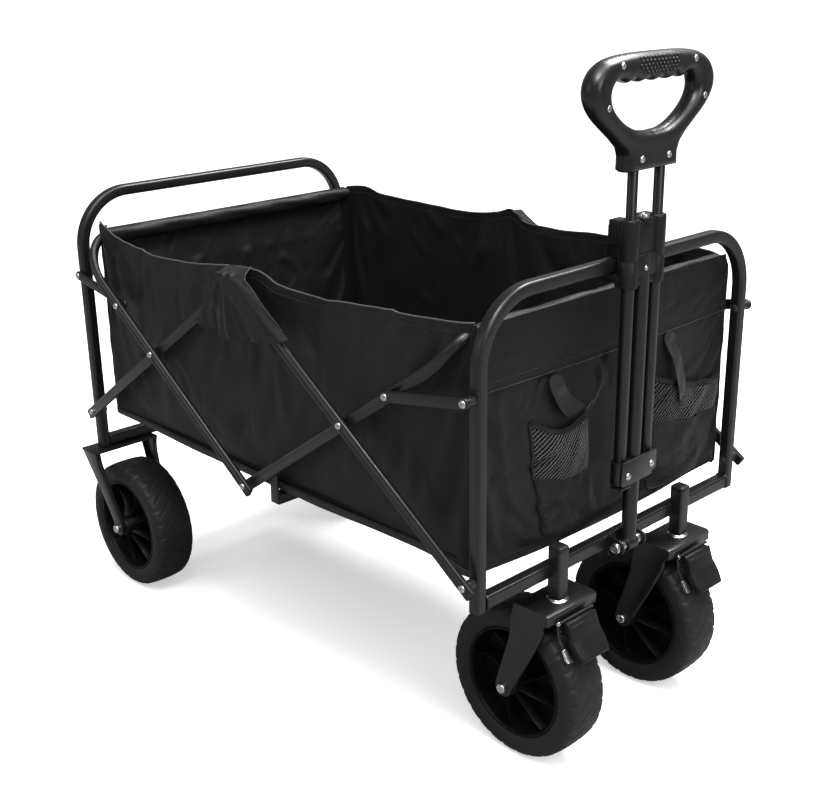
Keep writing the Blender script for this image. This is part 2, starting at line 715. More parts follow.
def tyre(wheel_x, wheel_y):
    """Tyre with rounded shoulders, slanted tread grooves and shoulder notches."""
    steps = 384
    crown = [(WHEEL_R - 0.0016 * (abs(y) / 0.0245) ** 2.6, y)
             for y in np.linspace(0.0225, -0.0225, 23)]
    outside = TYRE_SIDE + crown + [(r, -y) for r, y in reversed(TYRE_SIDE)]
    rows = outside + [(RIM_R, -0.029 + 0.058 * i / 6) for i in range(1, 6)]
    angles = np.arange(steps) / steps * 2 * math.pi
    P = np.zeros((len(rows), steps, 3))
    for k, (row_radius, y) in enumerate(rows):
        radius = np.full(steps, row_radius)
        if row_radius > 0.094:
            out, sign = abs(y), 1.0 if y >= 0 else -1.0
            turn = angles / (2 * math.pi) * TREADS + sign * 0.25
            if 0.002 < out < 0.0235:
                place = (turn + 1.15 * out / 0.03) % 1.0
                radius = radius - 0.0013 * np.exp(-((place - 0.5) / 0.055) ** 2)
            if out >= 0.02:
                depth = min(1.0, (out - 0.02) / 0.004)
                place = (turn + 1.15 * 0.0235 / 0.03 + 0.5) % 1.0
                notch = 1 / (1 + np.exp(-(0.10 - np.abs(place - 0.5)) / 0.012))
                radius = radius - 0.0016 * depth * notch
        P[k, :, 0] = wheel_x + radius * np.cos(angles)
        P[k, :, 1] = wheel_y + y
        P[k, :, 2] = WHEEL_R + radius * np.sin(angles)
    faces = []
    for k in range(len(rows)):
        near, far = k * steps, (k + 1) % len(rows) * steps
        for i in range(steps):
            j = (i + 1) % steps
            faces.append((near + i, near + j, far + j, far + i))
    return P.reshape(-1, 3), faces


# (radius, |y|) from the bore over boss and web to the rim's outside
HUB_SIDE = ((0.0045, 0.0385), (0.0128, 0.0385), (0.0138, 0.0378), (0.0146, 0.0355),
            (0.0158, 0.012), (0.018, 0.0045), (0.023, 0.002), (0.06, 0.002), (0.0655, 0.0035),
            (0.0676, 0.008), (0.0683, 0.024), (0.069, 0.0283), (0.0704, 0.0298),
            (0.0722, 0.03), (RIM_R - 0.0003, 0.0292))


def hub(wheel_x, wheel_y):
    """Dished centre: lipped rim, closed web, boss, and eight curved ribs on each face."""
    profile = [(r, wheel_y - y) for r, y in HUB_SIDE]
    profile += [(r, wheel_y + y) for r, y in reversed(HUB_SIDE)]
    parts = [lathe("y", (wheel_x, WHEEL_R), profile, 96, closed=True)]
    top, foot = 0.00075, 0.0014    # half thicknesses of a rib
    for i in range(8):
        for sign in (-1, 1):
            rings = []
            for k in range(11):
                f = k / 10
                radius = 0.014 + (0.0686 - 0.014) * f
                angle = 2 * math.pi * (i + 0.5) / 8 - 0.27 * f * f * sign
                height = 0.03 * (1 - f) + 0.0205 * f - 0.0045 * math.sin(math.pi * f)
                centre = Vector((wheel_x + radius * math.cos(angle), 0,
                                 WHEEL_R + radius * math.sin(angle)))
                across = Vector((-math.sin(angle), 0, math.cos(angle)))
                low, high = wheel_y + sign * 0.001, wheel_y + sign * height
                edge = high - sign * 0.0005
                rings.append([centre + across * a + Vector((0, y, 0)) for a, y in (
                    (-foot, low), (foot, low), (top, edge), (top * 0.5, high),
                    (-top * 0.5, high), (-top, edge))])
            parts.append(loft(rings))
    return parts


# axle bolt: (radius, distance beyond the fork's face) at its two ends
AXLE_HEAD = ((0.0, 0.0048), (0.0022, 0.0048), (0.0026, 0.0052), (0.005, 0.0052),
             (0.006, 0.0046), (0.0065, 0.0034), (0.0065, 0.001), (0.0065, 0), (0.004, 0))
AXLE_TAIL = ((0.004, 0), (0.0065, 0), (0.0065, 0.0009), (0.0041, 0.0009), (0.004, 0.0056),
             (0.0036, 0.006), (0.0, 0.006))


def wheel(end, side, x, y):
    body = f"{end}_wheel_{side}"
    piece(f"{end}_tread_{side}", tyre(x, y), TYRE, body, f"{end}_tyre_{side}", angle=50)
    piece(f"{end}_rim_{side}", hub(x, y), HUB, body, f"{end}_wheel_hub_{side}")
    low, high = y - FORK_HALF - 0.0003, y + FORK_HALF + 0.0003
    bolt = [(r, low - out) for r, out in AXLE_HEAD] + [(r, high + out) for r, out in AXLE_TAIL]
    nut = hexagon((x, WHEEL_R), "y", high + 0.0009, high + 0.0048, 0.0108)
    piece(f"{end}_axle_{side}", [lathe("y", (x, WHEEL_R), bolt, 28), nut], ZINC,
          "caster_" + side if end == "front" else "rear_frame", f"{end}_axle_bolt_{side}")


for end, (x, track) in WHEELS.items():
    for side, sign in SIDES:
        wheel(end, side, x, sign * track)


# ----------------------------------------------------------- front casters
POST_WASHER = ((0.006, 0.2266), (0.0132, 0.2266), (0.0136, 0.227), (0.0136, 0.2277),
               (0.0128, 0.2284), (0.0118, 0.2288), (0.0114, 0.2296), (0.0108, 0.23),
               (0.006, 0.23))   # radius, z
# (x, z) of the fork arm's outline before and after its round eye
FORK_FRONT = [(0.385, 0.2235), (0.387, 0.2262), (0.39, 0.2268), (0.434, 0.2268),
              (0.4378, 0.2255), (0.439, 0.222), (0.4378, 0.215), (0.4302, 0.2062),
              (0.4275, 0.1935), (0.4125, 0.16), (0.395, 0.1255), (0.3862, 0.108)]
FORK_BACK = [(0.3625, 0.122), (0.3712, 0.15), (0.3788, 0.176), (0.3815, 0.203)]
FORK_ROLL = [(0.4292, 0.205), (0.4264, 0.193), (0.4114, 0.16), (0.394, 0.1258), (0.3856, 0.109)]
FORK_FLANGE = [(0.433, 0.2238), (0.433, 0.2266), (0.4362, 0.2264), (0.4384, 0.225),
               (0.439, 0.222), (0.4388, 0.2128), (0.438, 0.2112), (0.4362, 0.2112),
               (0.4358, 0.22), (0.435, 0.223)]
FORK_PIVOT = ((0.0, 0.2205), (0.0062, 0.2205), (0.0072, 0.2212), (0.0072, 0.224),
              (0.0054, 0.2244), (0.0054, 0.29), (0.0, 0.29))   # radius, z
# (x, z) outlines of the brake pedal; the knuckle is flattened when built
KNUCKLE = [(0.4396, 0.215), (0.4405, 0.2186), (0.443, 0.2214), (0.4462, 0.222), (0.449, 0.2204),
           (0.4512, 0.2165), (0.4532, 0.2085), (0.448, 0.201), (0.443, 0.201), (0.4408, 0.206)]
STEP = [(0.4422, 0.2085), (0.4495, 0.212), (0.455, 0.196), (0.4576, 0.1892), (0.456, 0.185),
        (0.45, 0.1855), (0.447, 0.19), (0.4438, 0.199)]
LIP = [(0.4482, 0.1905), (0.454, 0.1925), (0.459, 0.1872), (0.466, 0.1778), (0.4722, 0.1698),
       (0.4727, 0.167), (0.4705, 0.1656), (0.4668, 0.1668), (0.46, 0.1728), (0.454, 0.1785),
       (0.45, 0.184)]
RIDGE = [(0.45, 0.2068), (0.4526, 0.2074), (0.4534, 0.206), (0.453, 0.2046), (0.45, 0.204)]
CATCH_STRIP = [(0.4402, 0.216), (0.4404, 0.206), (0.4424, 0.1935), (0.447, 0.185),
               (0.4505, 0.178)]
CATCH_FOOT = [(0.449, 0.181), (0.4512, 0.1815), (0.4585, 0.1704), (0.4612, 0.1676),
              (0.4575, 0.1664), (0.4535, 0.1688)]
PEDAL_PIN = (0.4435, 0.214)
PEDAL_LOW, PEDAL_HIGH = -0.0205, 0.034    # pedal's y from the wheel's middle


def swivel_post(side, sign, wheel_y):
    x, y, body = POST_X - 0.004, wheel_y + sign * 0.0025, "front_frame"
    post = sweep([(x, y, 0.232), (x, y, 0.293)], rounded(0.0188, 0.0188, 0.0028, 5),
                 normal=(1, 0, 0))
    weld_x = x - 0.009
    welds = [sweep([(weld_x, y + k * 0.0098, 0.256), (weld_x, y + k * 0.0098, 0.2725)],
                   circle(0.0013, 8), normal=(1, 0, 0), round_ends=0.0008) for k in (-1, 1)]
    piece("swivel_post_" + side, [post] + welds, POWDER, body, "caster_post_" + side)
    cap = [[(x + a * scale, y + b * scale, z) for a, b in rounded(0.0196, 0.0196, 0.004, 5)]
           for scale, z in ((1, 0.292), (1, 0.2952), (0.965, 0.2968), (0.8, 0.298),
                            (0.6, 0.2984))]
    piece("post_cap_" + side, loft(cap), PLASTIC, body)
    piece("post_washer_" + side, lathe("z", (x, y), POST_WASHER, 40, closed=True),
          ZINC, body, "caster_washer_" + side)


def pressed_fork(side, wheel_y):
    half = FORK_HALF
    eye = arc(WHEELS["front"][0], WHEEL_R, 0.0122, -20, -196, 16)
    arm = FORK_FRONT + eye + FORK_BACK
    parts = []
    for k in (-1, 1):
        parts.append(prism(arm, "y", wheel_y + k * (half - 0.0028), wheel_y + k * half,
                           0.0011, 3))
        # rolled edge along the front of each arm
        roll = [(x, wheel_y + k * (half - 0.003), z) for x, z in smooth_open(FORK_ROLL, 6)]
        parts.append(sweep(roll, circle(0.0017, 10), normal=(0, 1, 0), round_ends=0.0012))
    low, high = wheel_y - half, wheel_y + half
    crown = [(0.3862, low + 0.001), (0.434, low + 0.001), (0.4376, low + 0.004),
             (0.4376, high - 0.004), (0.434, high - 0.001), (0.3862, high - 0.001)]
    parts.append(prism(crown, "z", 0.2236, 0.2266, 0.001))
    parts.append(prism(FORK_FLANGE, "y", low + 0.0008, high - 0.0008, 0.0007))
    parts.append(lathe("z", (POST_X, wheel_y), FORK_PIVOT, 24))
    piece("pressed_fork_" + side, parts, POWDER, "caster_" + side, "front_fork_" + side)


def brake_pedal(side, wheel_y):
    low, high = wheel_y + PEDAL_LOW, wheel_y + PEDAL_HIGH
    knuckle = [(x, 0.1985 + (z - 0.201) * 0.62) for x, z in KNUCKLE]
    verts, faces = prism(smooth_closed(LIP, 3), "y", low + 0.0006, high, 0.001)
    middle = (low + high) / 2
    # narrowing the lip towards its tip rounds its corners in plan
    verts = [(x, middle + (y - middle) * (1 - 0.16 * max(0.0, (x - 0.46) / 0.0125) ** 2.2), z)
             for x, y, z in verts]
    parts = [prism(smooth_closed(knuckle, 3), "y", low, high - 0.004, 0.001),
             prism(STEP, "y", low + 0.001, high - 0.002, 0.0012, 3),
             (verts, faces),
             prism(RIDGE, "y", low + 0.003, high - 0.007, 0.0005)]
    piece("foot_pedal_" + side, parts, PLASTIC, "brake_pedal_" + side, "brake_pedal_" + side)


def spring_catch(side, wheel_y):
    """Strip with a wedge foot, a coil spring, and the pedal's pin and shaft."""
    body, y = "caster_" + side, wheel_y - 0.0271
    low, high = wheel_y + PEDAL_LOW, wheel_y + PEDAL_HIGH
    path = smooth_open(CATCH_STRIP, 5)
    last = len(path) - 1
    strip = sweep([(x, y, z) for x, z in path],
                  lambda i: rounded(2 * (0.003 - 0.0008 * i / last), 0.0016, 0.0005, 2),
                  normal=(0, 1, 0))
    piece("spring_catch_" + side, strip, STEEL, body, "brake_catch_" + side)
    wedge = prism(CATCH_FOOT, "y", y - 0.0042, y + 0.0034, 0.0008)
    head = lathe("y", PEDAL_PIN, [(0.0, low - 0.0125), (0.0022, low - 0.0125),
                                  (0.0028, low - 0.0118), (0.0028, low - 0.0106),
                                  (0.0, low - 0.0104)], 20)
    piece("catch_wedge_" + side, [wedge, head], ZINC, body)
    coil = [(0.4415 + 0.0016 * math.cos(t * 1.1), y + 0.0033 + 0.0016 * math.sin(t * 1.1),
             0.206 - 0.001 * t) for t in range(26)]
    piece("catch_spring_" + side, sweep(coil, circle(0.0005, 6), up=(0, 0, 1)), STEEL, body)
    shaft = [(0.0, low - 0.0103), (0.0018, low - 0.0103), (0.0018, high - 0.002),
             (0.0, high - 0.002)]
    piece("catch_shaft_" + side, lathe("y", PEDAL_PIN, shaft, 16), POWDER, body)


for side, sign in SIDES:
    wheel_y = sign * WHEELS["front"][1]
    swivel_post(side, sign, wheel_y)
    pressed_fork(side, wheel_y)
    brake_pedal(side, wheel_y)
    spring_catch(side, wheel_y)

# -------------------------------------------------------------- rear forks
# arm stations: x, z, |y| of the outer arm, |y| of the inner arm, width, flange depth
REAR_ARMS = ((-0.4055, 0.23, 0.278, 0.1645, 0.04, 0.009),
             (-0.402, 0.205, 0.2735, 0.165, 0.031, 0.0085),
             (-0.385, 0.148, 0.264, 0.1662, 0.0255, 0.007),
             (-0.3735, 0.11, 0.2588, 0.1672, 0.0225, 0.006),
             (-0.372, 0.092, 0.2588, 0.1672, 0.019, 0.005))


def channel(stations, flange_way):
    """Pressed channel down (x, z, y, width, depth) stations."""
    wall, bend = 0.0024, 0.0016
    rings = []
    for x, z, y, width, depth in smooth_open(stations, 5):
        half = width / 2
        right = [(half - bend, 0), (half - bend * 0.3, bend * 0.3), (half, bend), (half, depth),
                 (half - wall, depth), (half - wall, wall + bend * 0.5),
                 (half - wall - bend * 0.5, wall)]
        left = [(-a, b) for a, b in reversed(right)]
        rings.append([(x + a, y + flange_way * b, z) for a, b in left[-3:] + right + left[:-3]])
    return loft(rings)


def rear_fork(side, sign):
    parts = [rbox(-0.4268, -0.3852, sign * 0.2785, sign * 0.164, 0.228, 0.2316, 0.0014),
             rbox(-0.4148, -0.3952, sign * 0.23, sign * 0.27, 0.226, 0.231, 0.0012)]
    arms = ((2, -sign), (3, sign))    # column of |y|, and the way the flanges point
    for column, inward in arms:
        parts.append(channel([(*row[:2], sign * row[column], *row[4:]) for row in REAR_ARMS],
                             inward))
    for column, inward in arms:
        # round eye at the axle
        y = sign * REAR_ARMS[-1][column]
        eye = [(0.0043, y), (0.0112, y), (0.0118, y + inward * 0.0006),
               (0.0118, y + inward * 0.0022), (0.0043, y + inward * 0.0022)]
        parts.append(lathe("y", (WHEELS["rear"][0], WHEEL_R), eye, 32, closed=True))
    piece("rear_wheel_bracket_" + side, parts, POWDER, "rear_frame", "rear_fork_" + side)


for side, sign in SIDES:
    rear_fork(side, sign)

# ------------------------------------------------------------------ handle
HINGE_BOLT = (
    (0.0, -0.0288), (0.0024, -0.0288), (0.003, -0.0272), (0.004, -0.0272), (0.0046, -0.0292),
    (0.0062, -0.0288), (0.007, -0.027), (0.007, -0.0238), (0.004, -0.0238), (0.004, -0.0202),
    (0.0066, -0.0202), (0.0068, -0.0196), (0.0068, -0.0104), (0.0066, -0.0096),
    (0.004, -0.0094), (0.004, 0.0094), (0.0066, 0.0096), (0.0068, 0.0104), (0.0068, 0.015),
    (0.0056, 0.0154), (0.0056, 0.016), (0.0068, 0.0164), (0.0068, 0.0196), (0.0066, 0.0202),
    (0.004, 0.0202), (0.004, 0.0238), (0.0074, 0.0238), (0.0074, 0.0246), (0.0041, 0.0248),
    (0.004, 0.03), (0.0034, 0.0305), (0.0, 0.0305))   # radius, y
CLAMP_PLATE = [(-0.035, 0.3515), (-0.033, 0.38), (0.0335, 0.3815), (0.035, 0.379),
               (0.035, 0.356), (0.01, 0.3505), (-0.017, 0.348), (-0.031, 0.3485)]   # y, z
COLLAR_SOCKET = (
    (0.0, 0.5925), (0.01, 0.5925), (0.0108, 0.5932), (0.0111, 0.595), (0.0111, 0.6225),
    (0.0104, 0.6236), (0.0104, 0.6262), (0.0111, 0.6273), (0.0111, 0.669), (0.0108, 0.6708),
    (0.01, 0.6717), (0.007, 0.6719), (0.0066, 0.6712), (0.0, 0.6712))   # radius, z
COLLAR_RING = ((0.007, 0.666), (0.01, 0.666), (0.0106, 0.67), (0.01, 0.6716),
               (0.0086, 0.672), (0.007, 0.6712))
BUTTON = ((0.0, 0.665), (0.006, 0.665), (0.0064, 0.666), (0.0064, 0.6738), (0.0058, 0.675),
          (0.0048, 0.6752), (0.0042, 0.6744), (0.0036, 0.6742), (0.0, 0.6746))


def hinge():
    face, ear_r = LEG_X + TUBE / 2 + 0.0003, 0.0105
    ear = [(face + 0.001, 0.25)] + arc(HANDLE_X, HINGE_Z, ear_r, -90, 90, 18)
    ear.append((face + 0.001, 0.276))
    parts = [rbox(face, face + 0.0026, -0.0245, 0.0245, 0.2482, 0.2778, 0.001)]
    parts += [prism(ear, "y", k * 0.0205, k * 0.0235, 0.0006) for k in (-1, 1)]
    piece("hinge_bracket", parts, POWDER, "front_frame", "handle_bracket")
    at = (HANDLE_X, HINGE_Z)
    piece("hinge_bolt", [lathe("y", at, HINGE_BOLT), hexagon(at, "y", 0.0247, 0.0288, 0.0112)],
          ZINC, "front_frame", "handle_pivot_bolt")


def handle_tubes():
    radius, low = 0.0095, HINGE_Z + 0.005
    tube = [(0.0, low), (radius - 0.001, low), (radius, low + 0.0012), (radius, 0.628),
            (0.0, 0.628)]
    eye = [(0.0045, -0.009), (0.0094, -0.009), (0.01, -0.0084), (0.01, 0.0084),
           (0.0094, 0.009), (0.0045, 0.009)]
    piece("centre_tube", [lathe("z", (HANDLE_X, 0), tube),
                          lathe("y", (HANDLE_X, HINGE_Z), eye, closed=True)],
          POWDER, "handle_lower", "handle_centre_tube")
    outer, inner = 0.0077, 0.0062
    sleeve = [(0.0066, 0.35), (outer - 0.0003, 0.35), (outer, 0.3504), (outer, 0.6376),
              (outer - 0.0004, 0.638), (0.0066, 0.638)]
    rod = [(0.0, 0.375), (inner - 0.0006, 0.375), (inner, 0.3756), (inner, 0.759),
           (inner - 0.0006, 0.76), (0.0, 0.76)]
    for side, sign in SIDES:
        at = (HANDLE_X, sign * ROD_Y)
        piece("outer_tube_" + side, lathe("z", at, sleeve, closed=True),
              POWDER, "handle_lower", "handle_side_tube_" + side)
        piece("inner_rod_" + side, lathe("z", at, rod), POWDER, "handle_upper",
              "handle_rod_" + side)


def tube_clamp():
    """Block wrapped round the three tubes, with a plate in front and a lower flange."""
    x, body = HANDLE_X, "handle_lower"
    block = [(x - 0.0106, -0.029), (x - 0.0106, 0.029)]
    block += arc(x - 0.0006, ROD_Y, 0.01, 150, 0, 10)
    block += [(x + 0.0102, 0.014), (x + 0.0105, -0.014)]
    block += arc(x - 0.0006, -ROD_Y, 0.01, 0, -150, 10)
    parts = [prism(block, "z", 0.3485, 0.3785, 0.001),
             prism(CLAMP_PLATE, "x", x + 0.0088, x + 0.0108, 0.0006),
             rbox(x - 0.006, x + 0.0106, -0.034, -0.0145, 0.344, 0.347, 0.0009)]
    piece("tube_clamp", parts, POWDER, body, "handle_clamp")
    piece("clamp_rivets", [rivet("x", at, x + 0.0108, radius=0.0046, rise=0.0022)
                           for at in ((-0.0215, 0.36), (0.025, 0.364))], ZINC, body)


def arch_collar():
    """Sockets round the side tubes, recessed middle, ribbed cheeks, jaws over the arch."""
    x = HANDLE_X
    jaw_top = ARCH_Z["front"] + TUBE / 2 + 0.0006
    jaw_low = ARCH_Z["front"] - TUBE / 2 - 0.0008
    parts = []
    for s in (-1, 1):
        parts.append(lathe("z", (x - 0.0003, s * ROD_Y), COLLAR_SOCKET, 40))
        parts.append(rbox(0.403, x - 0.001, s * 0.014, s * 0.0344, 0.6405, 0.6708, 0.0022, 3))
        for k in range(6):
            rib = 0.4052 + k * 0.004
            parts.append(rbox(rib, rib + 0.0022, s * 0.033, s * 0.0357, 0.6425, 0.667, 0.0007))
        parts.append(rbox(x - 0.012, x + 0.002, s * 0.015, s * 0.033, 0.593, 0.67, 0.002))
    # x range, half width, z range, edge radius
    for x0, x1, half, z0, z1, radius in (
            (x - 0.0122, x + 0.006, 0.02, 0.627, 0.669, 0.0018),
            (x - 0.0122, x + 0.0085, 0.02, 0.604, 0.63, 0.0018),
            (x - 0.0122, x + 0.0066, 0.02, 0.5935, 0.606, 0.0018),
            (0.3935, x, 0.033, 0.5966, jaw_low, 0.0014),
            (0.415, x, 0.0352, 0.5936, 0.606, 0.0018),
            (0.399, x - 0.004, 0.03, jaw_top + 0.0002, 0.664, 0.0018)):
        parts.append(rbox(x0, x1, -half, half, z0, z1, radius))
    parts.append(lathe("z", (x, 0), COLLAR_RING, 36, closed=True))
    piece("arch_collar", parts, PLASTIC, "handle_lower", "handle_collar")
    piece("collar_screw", rivet("x", (-0.003, 0.6135), x + 0.0085, radius=0.003, rise=0.0014),
          ZINC, "handle_lower")
    piece("push_button", lathe("z", (x, 0), BUTTON, 36), ZINC, "release_button",
          "release_button")


hinge()
handle_tubes()
tube_clamp()
arch_collar()

# ------------------------------------------------------------------ D-grip
# (y, z) of the left half of the grip's outside, from the skirt up to the top
GRIP_OUTER = [(0.043, 0.743), (0.0462, 0.75), (0.056, 0.7575), (0.074, 0.7705),
              (0.095, 0.7865), (0.107, 0.801), (0.1112, 0.815), (0.108, 0.83), (0.096, 0.843),
              (0.076, 0.8505), (0.042, 0.8536), (0.0, 0.854)]
# (y, z) of the left half of the finger hole, from its bottom up
GRIP_INNER = [(0.0, 0.769), (0.025, 0.7712), (0.048, 0.78), (0.067, 0.793), (0.077, 0.806),
              (0.0768, 0.8175), (0.068, 0.8262), (0.056, 0.8262)]
GRIP_CENTRE = (0.0, 0.8)
GRIP_X = HANDLE_X - 0.001        # plane where the two shells meet
GRIP_TURNS, GRIP_STEPS = 300, 15     # points round the ring, and across it


def mirrored(points):
    return [(-y, z) for y, z in points]


def ray_reach(outline, centre, angle):
    """Distance to the farthest crossing of a ray with a closed outline."""
    ray = np.array((math.cos(angle), math.sin(angle)))
    starts = np.array(outline) - np.array(centre)
    best = 0.0
    for start, end in zip(starts, np.roll(starts, -1, 0)):
        edge = end - start
        cross = ray[0] * edge[1] - ray[1] * edge[0]
        if abs(cross) < 1e-12:
            continue
        t = (start[0] * edge[1] - start[1] * edge[0]) / cross
        share = (start[0] * ray[1] - start[1] * ray[0]) / cross
        if t > best and -1e-9 <= share <= 1 + 1e-9:
            best = t
    return best


def outline_distance(points, outline):
    starts = np.array(outline)
    edges = np.roll(starts, -1, 0) - starts
    best = np.full(len(points), 1e9)
    for start, edge, square in zip(starts, edges, (edges ** 2).sum(1)):
        offset = points - start
        t = np.clip((offset @ edge) / max(square, 1e-12), 0, 1)
        best = np.minimum(best, np.linalg.norm(offset - t[:, None] * edge, axis=1))
    return best


def quarter_round(t):
    """Rises from 0 to 1 as a quarter circle."""
    return np.sqrt(np.clip(1 - (1 - np.clip(t, 0, 1)) ** 2, 0, 1))


def grip_plan():
    """(y, z) of the ring's points and how far each stands off the middle plane."""
    outer = smooth_open(GRIP_OUTER + mirrored(GRIP_OUTER[-2::-1]), 5)
    outer = [(0.044, 0.7262), (0.0432, 0.734)] + outer + [(-0.0432, 0.734), (-0.044, 0.7262)]
    # waved finger rest under the top bar
    rest = [(y, 0.824 + 0.0018 * math.cos(2 * math.pi * y / 0.025 + math.pi))
            for y in np.linspace(0.05, -0.05, 33)]
    inner = smooth_open(GRIP_INNER, 5) + rest + smooth_open(mirrored(GRIP_INNER[::-1]), 5)
    plan = np.zeros((GRIP_TURNS, GRIP_STEPS, 2))
    for i in range(GRIP_TURNS):
        angle = 2 * math.pi * i / GRIP_TURNS
        near, far = (ray_reach(line, GRIP_CENTRE, angle) for line in (inner, outer))
        for k in range(GRIP_STEPS):
            radius = near + (far - near) * (0.5 - 0.5 * math.cos(math.pi * k / (GRIP_STEPS - 1)))
            plan[i, k] = (GRIP_CENTRE[0] + radius * math.cos(angle),
                          GRIP_CENTRE[1] + radius * math.sin(angle))
    flat = plan.reshape(-1, 2)
    edge = np.minimum(outline_distance(flat, inner), outline_distance(flat, outer))
    # the skirt below is flatter and squarer than the ring
    skirt = np.clip((0.764 - flat[:, 1]) / 0.014, 0, 1)
    rise = (0.0138 * quarter_round(edge / 0.011) * (1 - skirt)
            + 0.0128 * quarter_round(edge / 0.004) * skirt)
    return plan, rise.reshape(GRIP_TURNS, GRIP_STEPS)


def grip_shell(plan, rise, way):
    flat = plan.reshape(-1, 2)
    plane, steps = GRIP_X + way * 0.00015, GRIP_STEPS
    verts = [(GRIP_X + way * (0.00015 + h), y, z) for (y, z), h in zip(flat, rise.ravel())]
    back = len(verts)
    verts += [(plane, y, z) for y, z in flat]
    faces = []
    for i in range(GRIP_TURNS):
        here, there = i * steps, (i + 1) % GRIP_TURNS * steps
        for k in range(steps - 1):
            a, b, c, d = here + k, here + k + 1, there + k + 1, there + k
            faces.append((a, b, c, d))
            faces.append((back + a, back + d, back + c, back + b))
    # weld the two skins at the rims
    bm = to_bmesh(verts, faces)
    bmesh.ops.remove_doubles(bm, verts=bm.verts[:], dist=0.00004)
    bmesh.ops.dissolve_degenerate(bm, edges=bm.edges[:], dist=0.00001)
    return from_bmesh(bm)


def grip_dots(plan, rise):
    """Staggered rows of dots on the top bar."""
    dots = []
    for row in range(5):
        for col in range(11):
            y = -0.036 + col * 0.0068 + (0.0034 if row % 2 else 0)
            z = 0.8325 + row * 0.004
            if y > 0.035:
                continue
            angle = math.atan2(z - GRIP_CENTRE[1], y) % (2 * math.pi)
            i = int(round(angle / (2 * math.pi) * GRIP_TURNS)) % GRIP_TURNS
            nearest = np.argmin(np.hypot(plan[i, :, 0] - y, plan[i, :, 1] - z))
            face = GRIP_X + float(rise[i][nearest])
            dots.append(lathe("x", (y, z), [(0.0016, face - 0.0012), (0.0015, face + 0.0007),
                                            (0.001, face + 0.0014), (0.0, face + 0.0016)], 12))
    return dots


def grip():
    plan, rise = grip_plan()
    for end, way in ENDS[::-1]:
        parts = [grip_shell(plan, rise, way)]
        if way > 0:
            parts += grip_dots(plan, rise)
        piece("grip_shell_" + end, parts, GRIP, "handle_upper", f"grip_{end}_shell", angle=60)
    screws = [rivet("x", (s * y, z), HANDLE_X + 0.0118, radius=0.004, rise=0.002)
              for y, z in ((0.0666, 0.842), (0.0885, 0.8), (0.025, 0.74)) for s in (-1, 1)]
    piece("grip_screws", screws, ZINC, "handle_upper")
    back, front = HANDLE_X - 0.015, HANDLE_X - 0.0132
    core_pin = [(0.0, back), (0.0036, back), (0.0036, front), (0.0, front)]
    piece("grip_core_pins", [lathe("x", (s * 0.025, 0.74), core_pin, 16) for s in (-1, 1)],
          STEEL, "handle_upper")


grip()

# --------------------------------------------------------------------- bag
# (x, z) of the top edge of each side wall, by sign of y
TOP_EDGE = {
    -1: [(-0.366, 0.59), (-0.357, 0.5965), (-0.34, 0.59), (-0.318, 0.58), (-0.29, 0.5745),
         (-0.234, 0.57), (-0.18, 0.569), (-0.138, 0.571), (-0.09, 0.576), (-0.036, 0.583),
         (0.0, 0.587), (0.026, 0.587), (0.045, 0.582), (0.063, 0.5755), (0.107, 0.569),
         (0.14, 0.569), (0.175, 0.5725), (0.254, 0.58), (0.317, 0.583), (0.39, 0.5885)],
    1: [(-0.366, 0.583), (-0.323, 0.586), (-0.29, 0.579), (-0.24, 0.576), (-0.196, 0.5755),
        (-0.15, 0.575), (-0.105, 0.5745), (-0.06, 0.577), (-0.02, 0.582), (0.001, 0.5885),
        (0.02, 0.58), (0.032, 0.5745), (0.07, 0.5715), (0.1, 0.571), (0.183, 0.576),
        (0.26, 0.579), (0.32, 0.581), (0.362, 0.579), (0.39, 0.57)]}
# (x, z) of the bottom edge of both side walls
BOTTOM_EDGE = [(-0.366, 0.3055), (-0.28, 0.305), (-0.237, 0.3035), (-0.149, 0.301),
               (-0.058, 0.301), (0.057, 0.3005), (0.129, 0.3), (0.231, 0.3035),
               (0.311, 0.3045), (0.35, 0.302), (0.39, 0.292)]


def edge_height(x, table):
    """Smooth height at x through a table of (x, z)."""
    xs, zs = zip(*table)
    last = len(xs) - 1
    i = max(0, min(last - 1, int(np.searchsorted(xs, x)) - 1))
    span = xs[i + 1] - xs[i]
    before, after = max(0, i - 1), min(last, i + 2)
    t = clamp((x - xs[i]) / span)
    slope0 = (zs[i + 1] - zs[before]) / (xs[i + 1] - xs[before]) * span
    slope1 = (zs[after] - zs[i]) / (xs[after] - xs[i]) * span
    return ((2 * t ** 3 - 3 * t * t + 1) * zs[i] + (t ** 3 - 2 * t * t + t) * slope0
            + (-2 * t ** 3 + 3 * t * t) * zs[i + 1] + (t ** 3 - t * t) * slope1)


def wobble(point, scale, seed=0.0):
    """Smooth noise at a point."""
    x, y, z = point
    return noise.noise(Vector((x * scale + seed, y * scale + seed * 0.7, z * scale - seed * 1.3)))


def hump(t):
    """Rises from 0 at t = 0 to 1 in the middle and falls to 0 at t = 1."""
    return math.sin(math.pi * t)


def bell(t):
    return math.exp(-t ** 2)


def grid(rows, columns, place):
    """Grid of points; place takes two shares from 0 to 1."""
    P = np.zeros((rows, columns, 3))
    for i in range(rows):
        for j in range(columns):
            P[i, j] = place(i / (rows - 1), j / (columns - 1))
    return P


